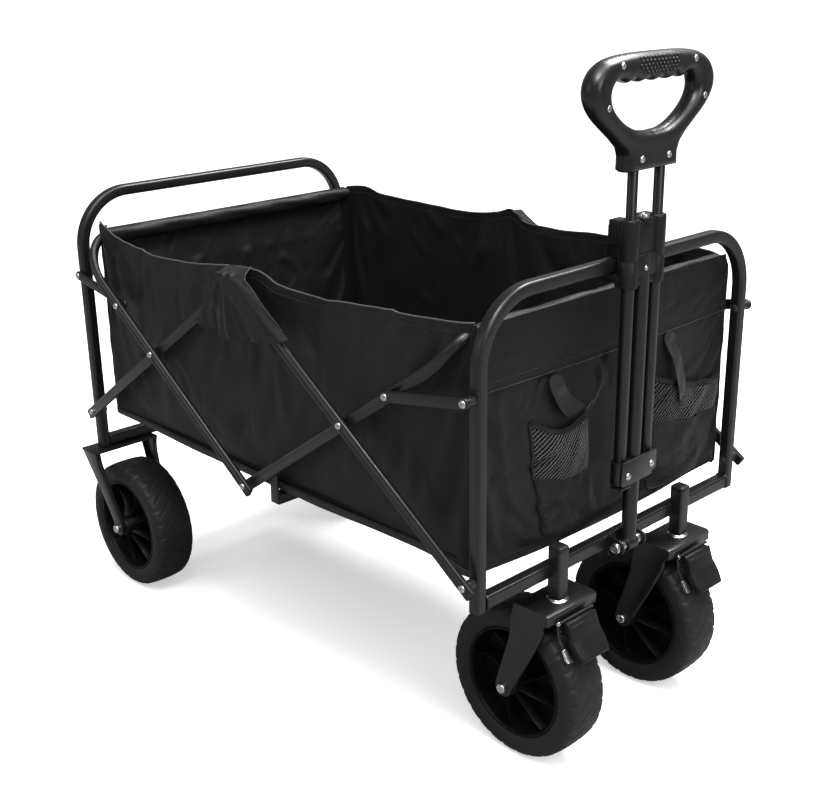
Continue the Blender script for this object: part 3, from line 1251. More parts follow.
def drape(P, column_pins, bending=6.0):
    """Settles a grid as cloth, each point moving 9 mm at most.

    Column pins give a pin weight by column; the first and last rows are held fast.
    """
    rows, columns = P.shape[:2]
    frames, most = 16, 0.009
    faces = [(i * columns + j, (i + 1) * columns + j, (i + 1) * columns + j + 1,
              i * columns + j + 1) for i in range(rows - 1) for j in range(columns - 1)]
    mesh = bpy.data.meshes.new("cloth_tmp")
    mesh.from_pydata([tuple(p) for p in P.reshape(-1, 3)], [], faces)
    cloth = bpy.data.objects.new("cloth_tmp", mesh)
    COLL.objects.link(cloth)
    weights = {i * columns + j: w for i in range(rows) for j, w in column_pins.items()}
    for j in range(columns):
        weights[j] = weights[(rows - 1) * columns + j] = 1.0
    group = cloth.vertex_groups.new(name="pin")
    for index, weight in weights.items():
        group.add([index], weight, "REPLACE")
    modifier = cloth.modifiers.new("cloth", "CLOTH")
    for key, value in dict(quality=6, mass=0.25, air_damping=2.0, tension_stiffness=40,
                           compression_stiffness=40, shear_stiffness=18,
                           bending_stiffness=bending, vertex_group_mass="pin").items():
        setattr(modifier.settings, key, value)
    modifier.collision_settings.use_collision = False
    modifier.collision_settings.use_self_collision = False
    modifier.point_cache.frame_start, modifier.point_cache.frame_end = 1, frames
    for frame in range(1, frames + 1):
        SCENE.frame_set(frame)
    settled = cloth.evaluated_get(bpy.context.evaluated_depsgraph_get())
    found = np.zeros(rows * columns * 3)
    settled.data.vertices.foreach_get("co", found)
    found = found.reshape(rows, columns, 3)
    SCENE.frame_set(1)
    bpy.data.objects.remove(cloth, do_unlink=True)
    bpy.data.meshes.remove(mesh)
    # a simulation that blew up is dropped
    if not np.isfinite(found).all():
        return P
    move = found - P
    length = np.linalg.norm(move, axis=2, keepdims=True)
    return P + move * np.minimum(1.0, most / np.maximum(length, 1e-9))


def normals(P):
    cross = np.cross(np.gradient(P, axis=0), np.gradient(P, axis=1))
    return cross / np.maximum(np.linalg.norm(cross, axis=2, keepdims=True), 1e-12)


def outward(P, axis, sign):
    """Normals of a grid, turned towards sign on an axis."""
    N = normals(P)
    return N if N[P.shape[0] // 2, P.shape[1] // 2, axis] * sign > 0 else -N


def sheet(P, low, high):
    """Closed thin sheet between two offsets of a grid along its normals."""
    N = normals(P)
    n, m = P.shape[:2]
    verts = np.concatenate([(P + N * low).reshape(-1, 3), (P + N * high).reshape(-1, 3)])
    other, faces = n * m, []
    for i in range(n - 1):
        for j in range(m - 1):
            a, b, c, d = i * m + j, (i + 1) * m + j, (i + 1) * m + j + 1, i * m + j + 1
            faces.append((a, b, c, d))
            faces.append((other + a, other + d, other + c, other + b))
    rim = [i * m for i in range(n)] + [(n - 1) * m + j for j in range(1, m)]
    rim += [i * m + m - 1 for i in range(n - 2, -1, -1)] + list(range(m - 2, 0, -1))
    for a, b in zip(rim, rim[1:] + rim[:1]):
        faces.append((a, other + a, other + b, b))
    return verts, faces


def cord(points, radius, steps=8):
    points = [Vector(p) for p in points]
    along, up = (points[1] - points[0]).normalized(), (0, 0, 1)
    if abs(along.dot(Vector(up))) > 0.9:
        up = (1, 0, 0) if abs(along.x) < 0.9 else (0, 1, 0)
    return sweep(points, circle(radius, steps), up=up)


def stitches(line, facing, pitch=0.0042, dash=0.0028):
    """Short raised threads along a line; facing is the outward direction at each point."""
    half_width, lift = 0.00038, 0.00055
    points = [Vector(p) for p in line]
    outs = [Vector(p).normalized() for p in facing]
    run = [0.0]
    for a, b in zip(points, points[1:]):
        run.append(run[-1] + (b - a).length)

    def at(distance):
        k = max(0, min(len(run) - 2, int(np.searchsorted(run, distance)) - 1))
        t = (distance - run[k]) / max(1e-9, run[k + 1] - run[k])
        return points[k].lerp(points[k + 1], t), outs[k].lerp(outs[k + 1], t).normalized()

    verts, faces = [], []
    distance = pitch * 0.5
    while distance + dash < run[-1]:
        p0, out0 = at(distance)
        p1, out1 = at(distance + dash)
        side = (p1 - p0).normalized().cross(out0).normalized() * half_width
        o = len(verts)
        for p, out, rise in ((p0, out0, 0.25), (p0.lerp(p1, 0.2), out0, 1.0),
                             (p0.lerp(p1, 0.8), out1, 1.0), (p1, out1, 0.25)):
            verts += [p + side, p + out * lift * rise, p - side, p - out * lift * 0.5]
        faces += [(o + 3, o + 2, o + 1, o), (o + 12, o + 13, o + 14, o + 15)]
        for k in range(3):
            for e in range(4):
                a, b = o + k * 4 + e, o + k * 4 + (e + 1) % 4
                faces.append((a, b, b + 4, a + 4))
        distance += pitch
    return verts, faces


def seam(P, N, column, **spacing):
    """Stitches on the outer face of a sheet, along one column of its grid."""
    return stitches(P[:, column] + N[:, column] * 0.0006, N[:, column], **spacing)


def corner_inset(x):
    """How far the bag's sides draw in towards the corners at x."""
    past = max(0.0, (abs(x) - (0.347 if x < 0 else 0.370)) / 0.019)
    return 0.0075 * min(1.1, past * past)


def side_wall(side, sign):
    n, m = 150, 52
    seed = 3.1 if sign < 0 else 11.7

    def place(along, up):
        x = -0.366 + 0.7555 * along
        low, high = edge_height(x, BOTTOM_EDGE), edge_height(x, TOP_EDGE[sign])
        z = low + (high - low) * up
        y = 0.2475 - corner_inset(x)
        top = up ** 1.5
        fade = min(1.0, (x + 0.366) * 22, (0.3895 - x) * 22) * min(1.0, up * 7)
        # slack: long soft swells, stronger near the top
        y += fade * (0.005 * wobble((x, 0.0, z), 6.0, seed) - 0.0015
                     + 0.0034 * wobble((x * 1.5, 0, z * 0.7), 15.0, seed) * (0.5 + top)
                     + 0.0024 * wobble((x * 0.7 + z * 0.9, 0, z * 0.6), 26.0, seed + 5) * top)
        # folds that fan down and out from the middle of the top edge
        angle, radius = math.atan2(x, 0.6 - z), math.hypot(x, 0.6 - z)
        y += fade * 0.003 * math.sin(angle * 11.0 + seed) * bell((radius - 0.12) / 0.075)
        # slack corners
        for corner_x in (-0.35, 0.372):
            angle = math.atan2(z - 0.6, x - corner_x)
            radius = math.hypot(x - corner_x, z - 0.6)
            y += fade * 0.002 * math.sin(angle * 14.0 + seed) * bell((radius - 0.09) / 0.05)
        y += 0.002 * bell(x / 0.05) * up ** 3 * fade
        # creases pressed in by folding
        ridge = abs(wobble((x * 1.1 + z * 0.5, 0, z - x * 0.35), 7.5, seed + 9))
        y += fade * 0.0042 * (0.35 - ridge) * (0.6 + 0.8 * top)
        crease = abs(wobble((x * 0.8 - z * 0.9, 0, z * 0.8 + x * 0.5), 9.0, seed + 2))
        y -= fade * 0.0034 * max(0.0, 1 - crease * 7.0)
        return x, sign * y, z

    P = drape(grid(n, m, place), {0: 1.0, m - 1: 1.0})
    # stay clear of the bars
    P[:, :, 1] = sign * np.clip(np.abs(P[:, :, 1]), 0.228, 0.2552)
    N = outward(P, 1, sign)
    body = "rear_wall"
    piece("bag_side_" + side, sheet(P, -0.0006, 0.0006), FABRIC, body,
          "bag_body" if sign < 0 else None, angle=80, fold=BAG_FOLD)
    piece("bag_top_hem_" + side, cord(P[:, m - 1], 0.0011, 10), EDGING, body, fold=BAG_FOLD)
    piece("bag_hem_stitch_" + side, [seam(P, N, m - 3), seam(P, -N, m - 3)], THREAD, body,
          fold=BAG_FOLD)
    binding = [(x, sign * (abs(y) - 0.0005), z - 0.001) for x, y, z in P[:, 0]]
    piece("bag_lower_binding_" + side,
          sweep(binding, rounded(0.005, 0.009, 0.0018, 3), up=(0, 1, 0)),
          STRAP, body, fold=BAG_FOLD)


def floor_point(along, across):
    x = -0.3662 + 0.7547 * along
    half = 0.2464 - corner_inset(x)
    share = 2 * across - 1
    y = half * share * (1.22 - 0.22 * abs(share))
    fade = clamp((1 - abs(y) / 0.245) * 8)
    # turned up along both sides behind the lower edge of the walls
    lip = 0.0105 * clamp((abs(y) - half + 0.006) / 0.006) ** 1.5
    return x, y, 0.299 + lip - 0.0016 * fade + fade * 0.0012 * wobble((x, y, 0), 22.0, 2.0)


def floor_pad(end, way):
    """Padded floor board with a stitched border."""
    x0, x1 = sorted((way * 0.364, way * 0.074))
    n, m, half, body = 30, 44, 0.2345, end + "_floor_board"

    def place(along, across):
        x, y = x0 + (x1 - x0) * along, -half + 2 * half * across
        edge = min((x - x0), (x1 - x), (half - abs(y))) / 0.006
        return x, y, 0.3014 + 0.0016 * clamp(edge) ** 0.5 + 0.0004 * wobble((x, y, 0), 40.0, 4.0)

    verts, faces = sheet(grid(n, m, place), -0.0003, 0.0006)
    # flat lower face
    a, b = verts[:n * m], verts[n * m:]
    (a if a[:, 2].mean() < b[:, 2].mean() else b)[:, 2] = 0.3
    piece("floor_pad_" + end, (verts, faces), LINING, body, end + "_floor_panel", angle=50)
    x0, x1, y, z = x0 + 0.008, x1 - 0.008, 0.227, 0.3036
    line = [(x0, -y, z), (x1, -y, z), (x1, y, z), (x0, y, z), (x0, -y, z)]
    piece("floor_pad_stitch_" + end, stitches(line, [(0, 0, 1)] * 5, pitch=0.006, dash=0.004),
          THREAD, body)


for side, sign in SIDES:
    side_wall(side, sign)
piece("bag_floor", sheet(grid(90, 60, floor_point), -0.0007, 0.0007), LINING, "rear_wall",
      angle=80, fold=BAG_FOLD)
for end, way in ENDS:
    floor_pad(end, way)

# --------------------------------------------------------------- end walls
# seed, |x| of the face, height of the seam under the upper band, height of the lower edge
END_WALLS = {-1: (35.9, 0.3672, 0.513, 0.2985), 1: (21.3, 0.3915, 0.5055, 0.285)}
WALL_HALF, WALL_TOP = 0.239, HEM_Z + 0.008


def end_panel(way):
    """Settled grid of an end wall, and the column of its band seam."""
    seed, face, seam_z, low_z = END_WALLS[way]
    n, m = 120, 64

    def place(across, up):
        y = -WALL_HALF + 2 * WALL_HALF * across
        bottom = low_z
        if way > 0:
            bottom += (0.005 * (abs(y) / 0.24) ** 3
                       - 0.003 * math.cos(math.pi * (y + 0.05) / 0.30)
                       + 0.0016 * wobble((y, 0, 0), 14.0, seed))
        z = bottom + (WALL_TOP - bottom) * up
        x = face if z < seam_z else face + 0.0018 * min(1.0, (z - seam_z) / 0.0025)
        x -= (x - HEM_AT[way] - 0.0086) * clamp((z - 0.56) / 0.018) ** 2
        fade = (min(1.0, (1 - abs(y) / WALL_HALF) * 10) * min(1.0, up * 9)
                * min(1.0, (1 - up) * 9))
        loose = 1.0 if z < seam_z else 0.35
        crease = abs(wobble((0, y * 0.9 - z * 0.7, z * 0.8 + y * 0.4), 9.5, seed + 4))
        x -= fade * loose * 0.0042 * max(0.0, 1 - crease * 6.0)
        x += fade * loose * (0.0052 * wobble((0, y + z * 0.5, z * 0.55), 10.0, seed)
                             + 0.0036 * wobble((0, y * 1.2 - z * 0.7, z * 0.5), 22.0, seed)
                             + 0.0014 * wobble((0.0, y, z), 46.0, seed) - 0.0015)
        roll_z = 0.54 + 0.01 * wobble((0, y, 0), 6.0, seed)
        x += fade * (1 - loose) * 0.0046 * bell((z - roll_z) / 0.009)
        if way > 0 and z < seam_z:
            # long slanting folds beside the right end of the panel
            t = (y + 0.215) + (z - 0.30) * 0.22
            x += (fade * 0.005 * math.sin(t * 150.0) * bell((t - 0.02) / 0.035)
                  * min(1.0, (seam_z - z) * 20))
        return way * x, y, z

    column = int(round((seam_z - low_z) / (WALL_TOP - low_z) * (m - 1)))
    P = drape(grid(n, m, place), {m - 1: 1.0, column: 0.6, 0: 0.8}, bending=4.0)
    P[:, :, 0] = way * np.clip(np.abs(P[:, :, 0]), face - 0.014, face + 0.0052)
    return P, column


def hem_sleeve(end, way):
    """Sleeve round the hem rod, gathered a little at its ends."""
    seed, body, hem_x = END_WALLS[way][0], end + "_wall", way * HEM_AT[way]
    half, steps, around = 0.234, 64, 28
    outer = []
    for i in range(steps + 1):
        y = -half + 2 * half * i / steps
        gather = max(0.0, (abs(y) - half + 0.02) / 0.02)
        for q in range(around):
            a = 2 * math.pi * q / around
            radius = (0.0092 - 0.0012 * gather + 0.0005 * math.sin(3 * a + y * 60)
                      + 0.0007 * wobble((math.cos(a) * 0.02, y, math.sin(a) * 0.02), 60.0, seed))
            # teardrop: the sleeve runs down into the panel
            radius += 0.0042 * max(0.0, -math.sin(a)) ** 3 * (1 - 0.5 * gather)
            outer.append((hem_x + radius * math.cos(a), y, HEM_Z + radius * math.sin(a)))
    inner = [(hem_x + (x - hem_x) * 0.86, y, HEM_Z + (z - HEM_Z) * 0.86) for x, y, z in outer]
    o, faces = len(outer), []
    for start in range(0, steps * around, around):
        for q in range(around):
            a, b = start + q, start + (q + 1) % around
            faces.append((a, b, b + around, a + around))
            faces.append((o + a, o + a + around, o + b + around, o + b))
    for start in (0, steps * around):
        for q in range(around):
            a, b = start + q, start + (q + 1) % around
            faces.append((a, o + a, o + b, b))
    piece(f"bag_{end}_hem_sleeve", (outer + inner, faces), FABRIC, body, angle=60)
    line = [(way * (HEM_AT[way] + 0.0089), -0.215 + 0.43 * k / 60, HEM_Z - 0.0042)
            for k in range(61)]
    piece(f"bag_{end}_sleeve_stitch", stitches(line, [(way, 0, -0.3)] * 61), THREAD, body)


def wall_corner(end, way, side, sign, fold):
    """Corner piping, and at the rear the cloth turned in behind it."""
    face, low_z = END_WALLS[way][1], END_WALLS[way][3] + 0.006
    top_z = edge_height(way * (face - 0.003), TOP_EDGE[sign])
    piping = [(way * (face - 0.0016 + 0.0006 * math.sin(k * 0.9)),
               sign * (0.2398 + 0.0005 * math.sin(k * 1.7 + sign)),
               low_z + (top_z - 0.0015 - low_z) * k / 24) for k in range(25)]
    piece(f"bag_{end}_corner_{side}", cord(piping, 0.0026, 10), FABRIC, end + "_wall", fold=fold)
    if way < 0:
        gusset = grid(7, 30, lambda t, up: (
            -face + 0.015 * t ** 1.5, sign * (0.229 + 0.0128 * t ** 0.6 - 0.0008 * hump(t)),
            low_z + (top_z - 0.004 - low_z) * up))
        piece("bag_rear_gusset_" + side, sheet(gusset, -0.0005, 0.0005), LINING, "rear_wall",
              angle=80, fold=BAG_FOLD)


def end_wall(end, way):
    fold = FRONT_FOLD if way > 0 else None
    body = end + "_wall"
    P, column = end_panel(way)
    piece(f"bag_{end}_panel", sheet(P, -0.0006, 0.0006), FABRIC, body, f"bag_{end}_wall",
          angle=80, fold=fold)
    N = outward(P, 0, way)
    band_line = P[:, column] + N[:, column] * 0.0012
    piece(f"bag_{end}_band_seam", cord(band_line, 0.0009, 6), STRAP, body, fold=fold)
    piece(f"bag_{end}_stitch", [seam(P, N, column + 2), seam(P, N, 2)], THREAD, body, fold=fold)
    hem_sleeve(end, way)
    for side, sign in SIDES:
        wall_corner(end, way, side, sign, fold)
    return P


FRONT_PANEL = end_wall("front", 1)
end_wall("rear", -1)


def front_x(y, z):
    """Outer face of the front panel at (y, z)."""
    n, m = FRONT_PANEL.shape[:2]
    low_z = END_WALLS[1][3]
    i = int(round((y + WALL_HALF) / (2 * WALL_HALF) * (n - 1)))
    j = int(round((z - low_z) / (WALL_TOP - low_z) * (m - 1)))
    return float(FRONT_PANEL[max(0, min(n - 1, i)), max(0, min(m - 1, j)), 0]) + 0.0006


# ----------------------------------------------------------------- pockets
# Two net pockets on the front panel. The one named left has y < 0.
# (y, z) of the net's corners: upper at low y, upper at high y, then the lower two
NET_LEFT = ((-0.152, 0.4515), (-0.0455, 0.437), (-0.142, 0.3805), (-0.04, 0.364))
NET_RIGHT = ((0.083, 0.45), (0.231, 0.417), (0.086, 0.385), (0.233, 0.376))
POCKET_X = 0.406    # pocket cloth never stands out beyond this


def in_net(corners, a, b):
    """(y, z) at shares a across and b up between the corners."""
    (y0, z0), (y1, z1), (y2, z2), (y3, z3) = corners
    return ((y0 * (1 - a) + y1 * a) * b + (y2 * (1 - a) + y3 * a) * (1 - b),
            (z0 * (1 - a) + z1 * a) * b + (z2 * (1 - a) + z3 * a) * (1 - b))


def pocket_left(a, b):
    y, z = in_net(NET_LEFT, a, b)
    z -= b * 0.015 * hump(min(1.0, a * 1.02)) ** 1.3 + (1 - b) * 0.006 * hump(a)
    bulge = 0.008 * hump(clamp(a)) ** 0.6 * (0.45 + 0.55 * hump(0.15 + 0.75 * b))
    return min(POCKET_X, front_x(y, z) + 0.0014 + bulge), y, z


def pocket_right(a, b):
    y, z = in_net(NET_RIGHT, a, b)
    z -= 0.008 * hump(a) * b + 0.004 * hump(a) * (1 - b)
    bulge = 0.007 * hump(a) ** 0.6 * (0.6 + 0.4 * b)
    return min(POCKET_X, front_x(y, z) + 0.0014 + bulge), y, z


def pouch_left(a, b):
    """Loose cloth under the left net."""
    top_y, top_z = in_net(NET_LEFT, a, 0.0)
    top_z -= 0.006 * hump(a) - 0.002
    low_y, low_z = -0.124 + 0.106 * a, 0.29 + 0.012 * (2 * a - 1) ** 2
    y, z = low_y + (top_y - low_y) * b, low_z + (top_z - low_z) * b
    edge = hump(a) ** 0.5
    fold = (0.0028 * math.sin(a * 15 + b * 4.2) * edge * hump(b)
            + 0.0018 * wobble((0, y, z), 60.0, 5.0) * edge)
    bulge = edge * 0.01 * hump(0.10 + 0.70 * b) ** 0.8
    return min(POCKET_X, front_x(y, z) + 0.0006 + max(0.0, bulge + fold)), y, z


def pouch_right(a, b):
    """Loose cloth under the right net."""
    top_y, top_z = in_net(NET_RIGHT, a, 0.0)
    top_z -= 0.004 * hump(a) - 0.002
    low_y, low_z = 0.086 + 0.147 * a, 0.296
    y, z = low_y + (top_y - low_y) * b, low_z + (top_z - low_z) * b
    edge = hump(a) ** 0.45
    fold = (0.0026 * math.sin(a * 10 - b * 5.0) * edge * hump(b)
            + 0.0024 * wobble((0, y, z), 40.0, 8.0) * edge)
    bulge = edge * 0.0105 * hump(0.08 + 0.66 * b) ** 0.7
    return min(POCKET_X, front_x(y, z) + 0.0006 + max(0.0, bulge + fold)), y, z


def net(pocket, width, height):
    """Diamond net of cords laid on a pocket."""
    cell, radius = 0.0058, 0.00046
    cords = []
    for slope in (1, -1):
        start = -height
        while start < width + height:
            points = []
            for k in range(41):
                b = k / 40
                a = (start + slope * b * height + (height if slope < 0 else 0)) / width
                if -0.001 <= a <= 1.001:
                    points.append(Vector(pocket(clamp(a), b)) + Vector((0.0003 * slope, 0, 0)))
            if len(points) > 2:
                cords.append(sweep(points, circle(radius, 3), up=(1, 0, 0)))
            start += cell
    return cords


def band(pocket, low, high, half_thick):
    """Flat band across a pocket between two shares of its height."""
    return sheet(grid(40, 5, lambda a, b: pocket(a, low + (high - low) * b)),
                 -half_thick, half_thick)


def hem_cord(pocket, b):
    return sweep([pocket(k / 30, b) for k in range(31)], circle(0.0011, 8), up=(1, 0, 0))


def side_tape(pocket, a, width):
    return sweep([pocket(a, k / 16) for k in range(17)], rounded(0.0014, width, 0.0006, 2),
                 up=(1, 0, 0))


def ribbon(middle, twist):
    """Flat strap along a smooth line, its width along y at the start, with rounded ends."""
    points = [Vector(p) for p in smooth_open(middle, 7)]
    last = len(points) - 1
    P = np.zeros((last + 1, 9, 3))
    for i, point in enumerate(points):
        tangent = (points[min(last, i + 1)] - points[max(0, i - 1)]).normalized()
        across = Vector((0.0, 1.0, 0.0))
        across = (across - tangent * across.dot(tangent)).normalized()
        across = Matrix.Rotation(twist * i / last, 3, tangent) @ across
        out = tangent.cross(across)
        end = min(i, last - i) / last
        width = (0.027 * math.sqrt(max(0.03, 1 - max(0.0, 1 - end / 0.16) ** 2))
                 * (1.0 - 0.22 * hump(i / last)))
        for j in range(9):
            q = j / 8 - 0.5
            cup = 0.0014 * math.cos(q * math.pi) * math.sin(i * 0.5)
            P[i, j] = point + across * (q * width) + out * cup
    return sheet(P, -0.0007, 0.0007)


STRAP_LEFT = [(0.3935, -0.107, 0.5), (0.3965, -0.109, 0.489), (0.4015, -0.106, 0.476),
              (0.403, -0.096, 0.463), (0.4015, -0.083, 0.453), (0.399, -0.07, 0.446)]
STRAP_RIGHT = [(0.3935, 0.112, 0.504), (0.396, 0.113, 0.492), (0.402, 0.119, 0.472),
               (0.404, 0.126, 0.45), (0.4035, 0.134, 0.428), (0.402, 0.139, 0.408)]
# loose cord ends beside the left pocket
TAILS = ([(0.401, -0.06, 0.44), (0.403, -0.052, 0.45), (0.402, -0.038, 0.464),
          (0.4, -0.025, 0.4765)],
         [(0.4005, -0.063, 0.44), (0.403, -0.059, 0.45), (0.4015, -0.048, 0.456)])


def front_cloth(name, parts, material, angle=38.0):
    piece(name, parts, material, "front_wall", angle=angle, fold=FRONT_FOLD)


def pockets():
    front_cloth("pocket_net_left", net(pocket_left, 0.108, 0.075), NET, 80)
    front_cloth("pocket_net_right", net(pocket_right, 0.148, 0.055), NET, 80)
    for side, pocket in (("left", pocket_left), ("right", pocket_right)):
        def on_panel(a, b):
            _, y, z = pocket(a, b)
            return front_x(y, z) + 0.0007, y, z
        front_cloth("pocket_back_" + side, sheet(grid(26, 14, on_panel), -0.0002, 0.0004),
                    LINING, 80)
    hems = [band(pocket_left, 0.955, 1.03, 0.0009), hem_cord(pocket_left, 1.03),
            band(pocket_left, -0.03, 0.03, 0.0008),
            side_tape(pocket_left, 0.0, 0.006), side_tape(pocket_left, 1.0, 0.006),
            band(pocket_right, 0.94, 1.04, 0.0009), hem_cord(pocket_right, 1.04),
            side_tape(pocket_right, 1.0, 0.005), side_tape(pocket_right, 0.0, 0.005)]
    front_cloth("pocket_hems", hems, FABRIC, 60)

    left, right = grid(60, 34, pouch_left), grid(64, 46, pouch_right)
    front_cloth("pocket_pouch_left", sheet(left, -0.0004, 0.0005), FABRIC, 80)
    front_cloth("pocket_pouch_right", sheet(right, -0.0004, 0.0005), FABRIC, 80)
    lines = [[Vector(pocket(k / 40, 0.985)) + Vector((0.001, 0, 0)) for k in range(41)]
             for pocket in (pocket_left, pocket_right)]
    lines.append([Vector(p) + Vector((0.0006, 0, 0)) for p in right[:, 43]])
    front_cloth("pocket_stitches",
                [stitches(line, [(1, 0, 0)] * len(line), pitch=0.0036, dash=0.0024)
                 for line in lines], THREAD)
    front_cloth("pocket_straps", [ribbon(STRAP_LEFT, 0.4), ribbon(STRAP_RIGHT, -0.35)],
                STRAP, 60)
    front_cloth("pocket_cords", [cord(smooth_open(tail, 6), 0.0011) for tail in TAILS], STRAP)


pockets()

# ------------------------------------------- flaps over the middle pivots
FLAP_TOP_X = (-0.034, -0.023, -0.012, 0.0, 0.012)
# (x, z) of the free lower edge
FLAP_LOW = [(-0.0784, 0.5099), (-0.064, 0.501), (-0.0279, 0.4986), (0.0109, 0.501),
            (0.0565, 0.506), (0.0956, 0.5134), (0.11, 0.5185)]


def curve(points):
    """Function of a share from 0 to 1 that gives a point on a smooth line."""
    line = smooth_open(points, 24)
    return lambda t: np.array(line[int(round(t * (len(line) - 1)))])


def flap_grid(sign, n, m):
    """First shape: a small roof over the pivot, then a skirt hanging over both bars."""
    def hem_z(x):
        return edge_height(x, TOP_EDGE[sign]) + 0.001

    top, low = curve([(x, hem_z(x)) for x in FLAP_TOP_X]), curve(FLAP_LOW)
    rear = curve([(-0.034, top(0)[1]), (-0.0345, 0.57), (-0.048, 0.544), FLAP_LOW[0]])
    front = curve([(0.012, top(1)[1]), (0.03, 0.5768), (0.0585, 0.5565), (0.0851, 0.5375),
                   FLAP_LOW[-1]])
    cos, sin = math.cos(SLOPE), math.sin(SLOPE)

    def over_bar(x, z, way, base, above, below):
        """|y| of cloth falling away from the bar on one side of the pivot."""
        along = x * way * cos - (z - TOP_Z) * sin
        off = (z - TOP_Z) * cos + x * way * sin
        distance = abs(off) if along > 0 else math.hypot(along, off)
        return base - (above if off > 0 else below) * max(0.0, distance - 0.009)

    def place(u, row):
        v = row ** 1.45
        x, z = ((1 - u) * rear(v) + u * front(v) + (1 - v) * top(u) + v * low(u)
                - ((1 - u) * (1 - v) * top(0) + u * (1 - v) * top(1)
                   + (1 - u) * v * low(0) + u * v * low(1)))
        y_front = over_bar(x, z, 1, 0.2802, above=0.75, below=0.26)
        y_rear = over_bar(x, z, -1, 0.2716, above=0.55, below=0.22)
        y = max(y_front, y_rear, 0.2578)
        y += 0.0008 * bell((y_front - y_rear) / 0.004)
        hang = min(1.0, v / 0.9)
        angle = math.atan2(x + 0.006, 0.59 - z)
        free = clamp((0.2802 - y_front) / 0.006)
        if x > -0.032 and (z - TOP_Z) * cos + x * sin < 0:
            y = max(y, 0.2786)
        y += free * hang * (0.003 * (math.sin(angle * 9.0 + 1.2 + sign * 0.4) + 0.7)
                            + 0.0013 * math.sin(angle * 23.0 + z * 60))
        y += 0.001 * wobble((x, 0, z), 70.0, 6.0 + sign) * hang
        out = hump(clamp((hem_z(x) - z) / 0.012) / 2) ** 0.9
        return x, sign * min(0.249 * (1 - out) + y * out, 0.2862), z

    return grid(n, m, place)


def flap_least(P, sign):
    """Least |y| that keeps the flap outside the bars and rivets it covers."""
    n, m = P.shape[:2]
    least = np.zeros((n, m))
    for i in range(n):
        for j in range(1, m):
            x, _, z = P[i, j]
            above_rear = (z - TOP_Z) - x * math.tan(SLOPE)
            above_front = (z - TOP_Z) + x * math.tan(SLOPE)
            if (abs(above_front) < 0.0125 and x > -0.004) or (x > -0.03 and above_front < 0):
                least[i, j] = 0.2772
            elif abs(above_rear) < 0.0125 and x < 0.004:
                least[i, j] = 0.2676
            if edge_height(x, TOP_EDGE[sign]) + 0.001 - z < 0.005:
                least[i, j] = 0.0
            if math.hypot(x, z - TOP_Z) < 0.0058:
                least[i, j] = 0.2796
    return least


def flap(side, sign):
    """Hood sewn to the hem over the middle pivot."""
    n, m = 96, 84
    P = flap_grid(sign, n, m)
    least = flap_least(P, sign)
    # smoothing, strongest on the roof
    ease = np.array([min(1.0, max(0.12, (0.34 - j / (m - 1)) / 0.10)) for j in range(m)])
    for _ in range(26):
        old = np.abs(P[:, :, 1])
        new = old.copy()
        new[1:-1, 1:-1] = 0.5 * old[1:-1, 1:-1] + 0.125 * (
            old[:-2, 1:-1] + old[2:, 1:-1] + old[1:-1, :-2] + old[1:-1, 2:])
        for edge in (0, -1):
            new[edge, 1:-1] = 0.5 * old[edge, 1:-1] + 0.25 * (old[edge, :-2] + old[edge, 2:])
        P[:, :, 1] = sign * np.maximum(old + (new - old) * ease[None, :], least)
    N = outward(P, 1, sign)
    body = "rear_wall"
    piece("bag_flap_" + side, sheet(P, -0.0005, 0.0005), FABRIC, body, angle=80, fold=FLAP_FOLD)
    piece("bag_flap_hem_" + side, [cord(P[:, m - 1], 0.0011), cord(P[0], 0.0008, 6),
                                   cord(P[n - 1], 0.0008, 6)], FABRIC, body, fold=FLAP_FOLD)
    piece("bag_flap_stitch_" + side, seam(P, N, m - 5, pitch=0.004, dash=0.0026), THREAD, body,
          fold=FLAP_FOLD)


for side, sign in SIDES:
    flap(side, sign)


# ----------------------------------------------------- floor, light, camera
def studio_floor():
    mat = Mat("studio_floor")
    mat.colour(mat.noise(scale=0.6, detail=2.0), (0.90, 0.90, 0.895), (0.92, 0.92, 0.915))
    mat.set(Roughness=0.75, Specular_IOR_Level=0.2, Emission_Color=(1, 1, 1, 1),
            Emission_Strength=0.50)
    # full white to the camera, a quieter bounce on the wagon
    rays, mix = mat.node("ShaderNodeLightPath"), mat.node("ShaderNodeMixShader")
    bounce = mat.node("ShaderNodeBsdfDiffuse")
    bounce.inputs["Color"].default_value = (0.30, 0.30, 0.305, 1)
    mat.link(rays, mix, 0, "Is Camera Ray")
    mat.link(bounce, mix, 1)
    mat.link(mat.shader, mix, 2)
    mat.link(mix, mat.output)
    half, z = 80, -0.0004
    mesh = bpy.data.meshes.new("studio_floor")
    mesh.from_pydata([(-half, -half, z), (half, -half, z), (half, half, z), (-half, half, z)],
                     [], [(0, 1, 2, 3)])
    mesh.materials.append(mat.material)
    floor = bpy.data.objects.new("studio_floor", mesh)
    COLL.objects.link(floor)


def studio_world():
    """Dim cool light on the wagon, plain white to the camera."""
    world = bpy.data.worlds.new("studio")
    SCENE.world = world
    world.use_nodes = True
    tree = world.node_tree
    tree.nodes.clear()
    output = tree.nodes.new("ShaderNodeOutputWorld")
    mix = tree.nodes.new("ShaderNodeMixShader")
    rays = tree.nodes.new("ShaderNodeLightPath")
    tree.links.new(rays.outputs["Is Camera Ray"], mix.inputs[0])
    for socket, colour, strength in ((1, (0.95, 0.96, 1.0, 1), 0.24), (2, (1, 1, 1, 1), 1.0)):
        background = tree.nodes.new("ShaderNodeBackground")
        background.inputs["Color"].default_value = colour
        background.inputs["Strength"].default_value = strength
        tree.links.new(background.outputs[0], mix.inputs[socket])
    tree.links.new(mix.outputs[0], output.inputs[0])


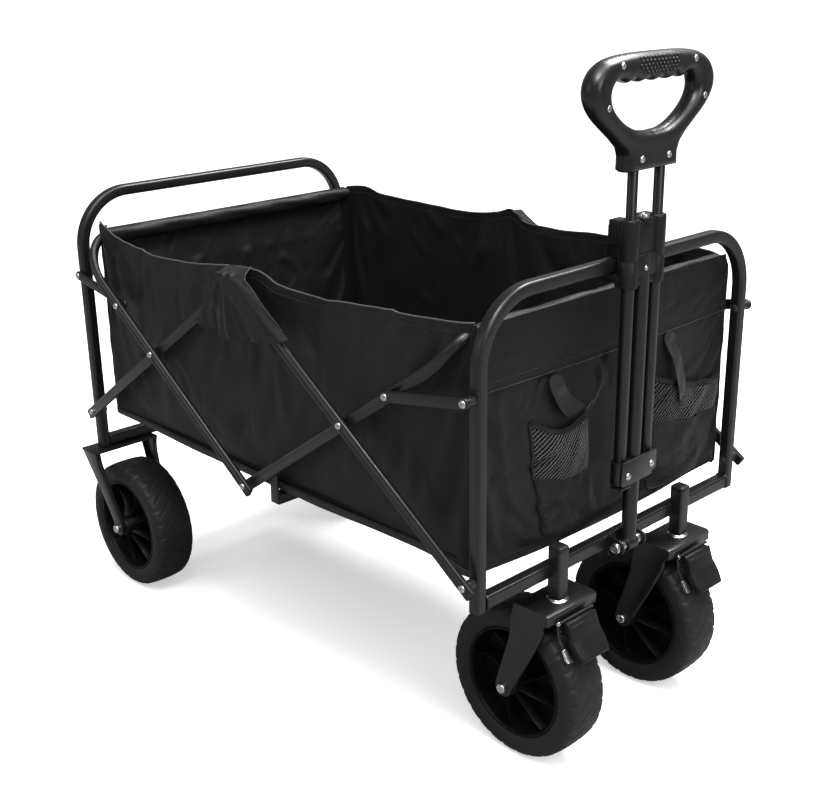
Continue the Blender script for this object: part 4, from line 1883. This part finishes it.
def add_light(name, light, direction, location=(0, 0, 0)):
    made = bpy.data.objects.new(name, light)
    made.location = location
    made.rotation_mode = "QUATERNION"
    made.rotation_quaternion = direction.to_track_quat("-Z", "Y")
    COLL.objects.link(made)


def area(name, location, target, size, power, diffuse=1.0):
    light = bpy.data.lights.new(name, "AREA")
    light.energy, light.shape = power, "RECTANGLE"
    light.size, light.size_y = size
    light.diffuse_factor = diffuse
    add_light(name, light, Vector(target) - Vector(location), location)


def lights():
    sun = bpy.data.lights.new("overhead", "SUN")
    sun.energy, sun.angle = 2.6, math.radians(60)
    add_light("overhead", sun, Vector((-0.30, 0.25, -1.0)))
    area("key_front_right", (2.6, -0.4, 1.7), target=(0.1, 0, 0.35), size=(1.2, 1.2),
         power=22, diffuse=0.6)
    area("fill_side", (-0.9, -2.6, 1.5), target=(0, 0, 0.4), size=(1.2, 1.0),
         power=6, diffuse=0.6)
    area("rim_overhead", (0.35, 1.35, 2.70), target=(0.1, -0.1, 0.45), size=(1.6, 1.0),
         power=135, diffuse=0.30)
    area("key_top", (0.95, -0.75, 2.30), target=(-0.15, 0.15, 0.45), size=(0.6, 0.5), power=22)


def camera():
    lens = bpy.data.cameras.new("camera")
    lens.sensor_width, lens.sensor_fit = 36.0, "HORIZONTAL"
    lens.lens = 54.524835
    made = bpy.data.objects.new("camera", lens)
    COLL.objects.link(made)
    yaw, pitch, roll = (math.radians(a) for a in (46.503, 19.738, -0.901))
    back = Vector((math.sin(yaw) * math.cos(pitch), -math.cos(yaw) * math.cos(pitch),
                   math.sin(pitch)))
    right = Vector((math.cos(yaw), math.sin(yaw), 0))
    up = back.cross(right)
    axes = (right * math.cos(roll) + up * math.sin(roll),
            up * math.cos(roll) - right * math.sin(roll), back)
    pose = Matrix(axes).transposed().to_4x4()
    pose.translation = (1.2549, -1.1574, 0.9527)
    made.matrix_world = pose
    SCENE.camera = made
    SCENE.view_settings.view_transform = "Standard"
    SCENE.view_settings.look = "None"
    SCENE.view_settings.exposure = 0.0


studio_floor()
studio_world()
lights()
camera()

bpy.context.view_layer.update()
